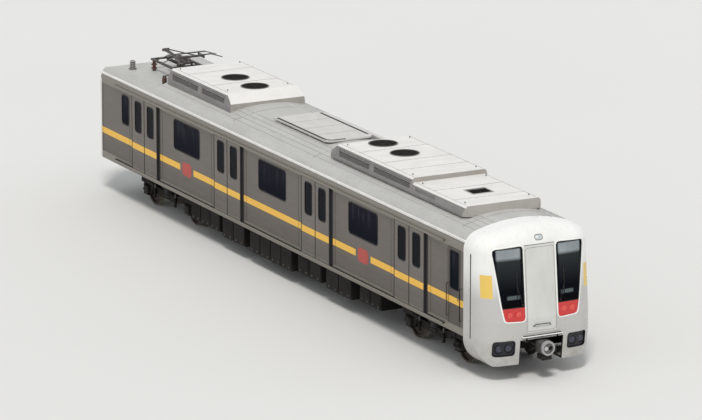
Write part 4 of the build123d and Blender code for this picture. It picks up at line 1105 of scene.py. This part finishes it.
def bogie_fittings(name, centre):
    bogie = Piece(f"bogie_fittings_{name}", "underframe_black", f"bogie_{name}")
    for side in (-1, 1):
        for ahead in (-1, 1):
            x = centre + ahead * WHEELBASE / 2
            bogie.rod((x, side * 1.188, AXLE_Z), (x, side * 1.204, AXLE_Z), 0.105, "case", sides=24)
            for u, v in circle(x, AXLE_Z, 0.08, 6):
                bogie.rod((u, side * 1.200, v), (u, side * 1.214, v), 0.011, "cast", sides=6)
            for spring_x in about(x, 0.215):
                for ring in range(5):
                    z = AXLE_Z + 0.01 + ring * 0.024
                    bogie.post((spring_x, side * 1.075), (z, z + 0.012), 0.078, "rubber", sides=18)
            x, y = centre + ahead * 0.62, (side * 1.15, side * 1.24)
            bogie.post((x, side * 1.215), above(0.36, 0.60), 0.036, "case", sides=14)
            bogie.post((x, side * 1.215), above(0.60, 0.74), 0.022, "cast", sides=12)
            bogie.box(about(x, 0.03), y, above(0.73, 0.76), "under", 0.005)
        pipe = [(centre + x, side * 1.19, RAIL + z) for x, z in PIPE]
        bogie.tube(pipe, 0.014, "black")
        y = (side * 1.168, side * 1.186)
        bogie.box(about(centre, 0.16), y, above(0.47, 0.57), "case", 0.004)
    bogie.finish()


for bogie_name, bogie_x in BOGIES:
    bogie_fittings(bogie_name, bogie_x)


# Under the floor: lids, latches, vents and pipes on the equipment cases
# Start and end of a case, half its width, and the height of its foot on the right and on the left
CASES = ((-5.60, -3.90, 1.35, 0.38, 0.38), (-3.65, -2.35, 1.40, 0.34, 0.42), (-2.05, 0.35, 1.40, 0.32, 0.32),
         (0.65, 1.95, 1.38, 0.40, None), (2.25, 3.65, 1.40, 0.36, 0.36), (3.95, 5.10, 1.33, 0.43, 0.43))
CASE_TOP = 0.95


def case_fittings():
    for name, side in SIDES:
        cases = Piece(f"case_lids_{name}", "underframe_black")
        for index, (start, end, half, right, left) in enumerate(CASES):
            bottom = left if side == 1 else right
            if bottom is None:
                continue
            doors = max(1, round((end - start) / 0.62))
            width = (end - start) / doors
            y = side * half
            for i in range(doors):
                x = start + width * i
                lid = rounded(x + width / 2, RAIL + (bottom + CASE_TOP) / 2,
                              width - 0.05, CASE_TOP - bottom - 0.07, 0.02, 2)
                cases.prism(lid, on_side, y, y + side * 0.016, "case" if (index + i) % 3 else "under")
                latch_z = (RAIL + bottom + 0.055, RAIL + bottom + 0.095)
                for latch in (0.25, 0.75):
                    cases.box(about(x + width * latch, 0.02), (y, y + side * 0.032), latch_z, "cast", 0.004)
                if (index + i) % 2 == 0:
                    continue
                slat_x, slat_y = (x + 0.09, x + width - 0.09), (y + side * 0.012, y + side * 0.026)
                for slat in range(7):
                    z = RAIL + bottom + 0.16 + slat * 0.035
                    cases.box(slat_x, slat_y, (z, z + 0.012), "black")
        y, z = side * 1.36, SILL_BOTTOM - 0.03
        cases.tube([(-6.0, y, z), (5.9, y, z)], 0.018, "black")
        cases.finish()


case_fittings()


# Rear end: handrails and jumper boxes with their cables, beside the gangway
# A cable's points: ahead of the rear end, towards the middle, height above the rail
JUMPER = ((-0.055, 0, 1.01), (-0.090, 0, 0.88), (-0.060, 0.05, 0.76), (0.10, 0.08, 0.80), (0.16, 0.08, 0.99))


def rear_fittings():
    rear = Piece("rear_end_fittings", "underframe_black")
    for side in (-1, 1):
        rail_foot = (REAR_END + 0.004, side * 1.250, RAIL + 1.40)
        rear.handle(rail_foot, (-0.054, 0, 0), (0, 0, 0.85), 0.013, "plain_steel")
        y = side * 1.020
        box_x, lid_x = (REAR_END - 0.110, REAR_END + 0.004), (REAR_END - 0.118, REAR_END - 0.108)
        rear.box(box_x, about(y, 0.110), above(1.00, 1.19), "case", 0.010)
        rear.box(lid_x, about(y, 0.090), above(1.02, 1.17), "under", 0.003)
        for across in about(y, 0.055):
            cable = [(REAR_END + ahead, across - side * inward, RAIL + z) for ahead, inward, z in JUMPER]
            rear.tube(cable, 0.019, "rubber")
    rear.finish()


rear_fittings()


# Couplers: ring, cone and cup of the face, lower box and air hoses
# A hose's points: behind the face, share of the hose's place across, below the coupler's axis
HOSE = ((0.30, 0.9, 0.02), (0.50, 1.1, 0.12), (0.77, 0.9, 0.10))


def coupler_fittings(name, face, way):
    """The coupler's face lies at face; way is 1 where it looks ahead and -1 where it looks back."""
    head = Piece(f"{name}_coupler_fittings", "coupler_steel", f"{name}_coupler")
    z = RAIL + 0.800
    back = face - way * 0.01
    head.hoop((0, z), (0.178, 0.1655), on_front, face - way * 0.07, face - way * 0.002, "ring")
    head.hoop((0, z), (0.164, 0.132), on_front, back, face + way * 0.0010, "ring")
    cup, cone = way * 0.060, -way * 0.060
    head.rod((face - way * 0.060, cup, z), (face - way * 0.045, cup, z), 0.054, "black", sides=24)
    head.rod((back, cone, z), (face + way * 0.0015, cone, z), 0.054, "chrome", radius_end=0.050, sides=24)
    head.box((face - way * 0.34, face - way * 0.06), (-0.13, 0.13), (z - 0.30, z - 0.17), "black", 0.012)
    for y in (-0.20, 0.20):
        hose = [(face - way * behind, y * share, z - below) for behind, share, below in HOSE]
        head.tube(hose, 0.018, "rubber")
    head.finish()


coupler_fittings("front", COUPLER_FACE, 1)
coupler_fittings("rear", -COUPLER_FACE, -1)


# Stage: floor, light and camera
VIEW_AZIMUTH = 62.5
VIEW_ELEVATION = 14.3
VIEW_DISTANCE = 139.0
FRAME_FILL = 0.86
IMAGE = (702, 420)
FLOOR_REACH = 600
SKY_ON_OBJECT = 0.60
SKY_SEEN = 0.95
SUN_ENERGY = 1.78
SUN_FROM = (0.50, -0.30, 0.85)


def stage():
    """A pale floor, a bright sky and a soft sun."""
    plate = bpy.data.meshes.new("floor")
    corners = [(x * FLOOR_REACH, y * FLOOR_REACH, 0) for x, y in ((-1, -1), (1, -1), (1, 1), (-1, 1))]
    plate.from_pydata(corners, [], [(0, 1, 2, 3)])
    floor = add("floor", plate)
    pale = Finish("floor_pale", (226, 226, 224), 0.9)
    pale.vary(0.05, (220, 220, 218), 0.3)
    plate.materials.append(pale.done())

    world = bpy.data.worlds.new("studio")
    bpy.context.scene.world = world
    sky = Nodes(world, "Background")
    seen = sky.node("LightPath", "Is Camera Ray")
    for name in ("Is Glossy Ray", "Is Transmission Ray"):
        seen = sky.combine("MAXIMUM", seen, sky.node("LightPath", name))
    sky.give("Strength", sky.spread(seen, 0.0, 1.0, SKY_ON_OBJECT, SKY_SEEN))
    sky.give("Color", (0.96, 0.98, 1.0, 1))

    lamp = bpy.data.lights.new("sun", "SUN")
    lamp.energy = SUN_ENERGY
    lamp.angle = math.radians(12)
    lamp.color = (1.0, 0.97, 0.93)
    add("sun", lamp).rotation_euler = Vector(SUN_FROM).to_track_quat("Z", "Y").to_euler()


def camera():
    """Looks at the car from the photograph's direction and distance, with a lens that fills the frame."""
    low, high = CAD_BOX
    low, high = Vector(low), Vector(high)
    azimuth, elevation = math.radians(VIEW_AZIMUTH), math.radians(VIEW_ELEVATION)
    level = math.cos(elevation)
    out = Vector((math.sin(azimuth) * level, -math.cos(azimuth) * level, math.sin(elevation)))
    turn = out.to_track_quat("Z", "Y")
    right, up = turn @ Vector((1, 0, 0)), turn @ Vector((0, 1, 0))
    corners = [Vector((x, y, z)) for x in (low.x, high.x) for y in (low.y, high.y) for z in (low.z, high.z)]
    target = (low + high) / 2
    for _ in range(4):
        eye = target + out * VIEW_DISTANCE
        across = [(c - eye).dot(right) / -(c - eye).dot(out) for c in corners]
        upright = [(c - eye).dot(up) / -(c - eye).dot(out) for c in corners]
        target += right * (max(across) + min(across)) / 2 * VIEW_DISTANCE
        target += up * (max(upright) + min(upright)) / 2 * VIEW_DISTANCE
    wide = max(max(across) - min(across), (max(upright) - min(upright)) * IMAGE[0] / IMAGE[1])
    data = bpy.data.cameras.new("camera")
    data.sensor_width = 36
    data.lens = data.sensor_width * FRAME_FILL / wide
    data.clip_end = 2000
    made = add("camera", data)
    made.location = target + out * VIEW_DISTANCE
    made.rotation_euler = turn.to_euler()
    bpy.context.scene.camera = made


stage()
camera()
bpy.context.scene.view_settings.view_transform = "Standard"
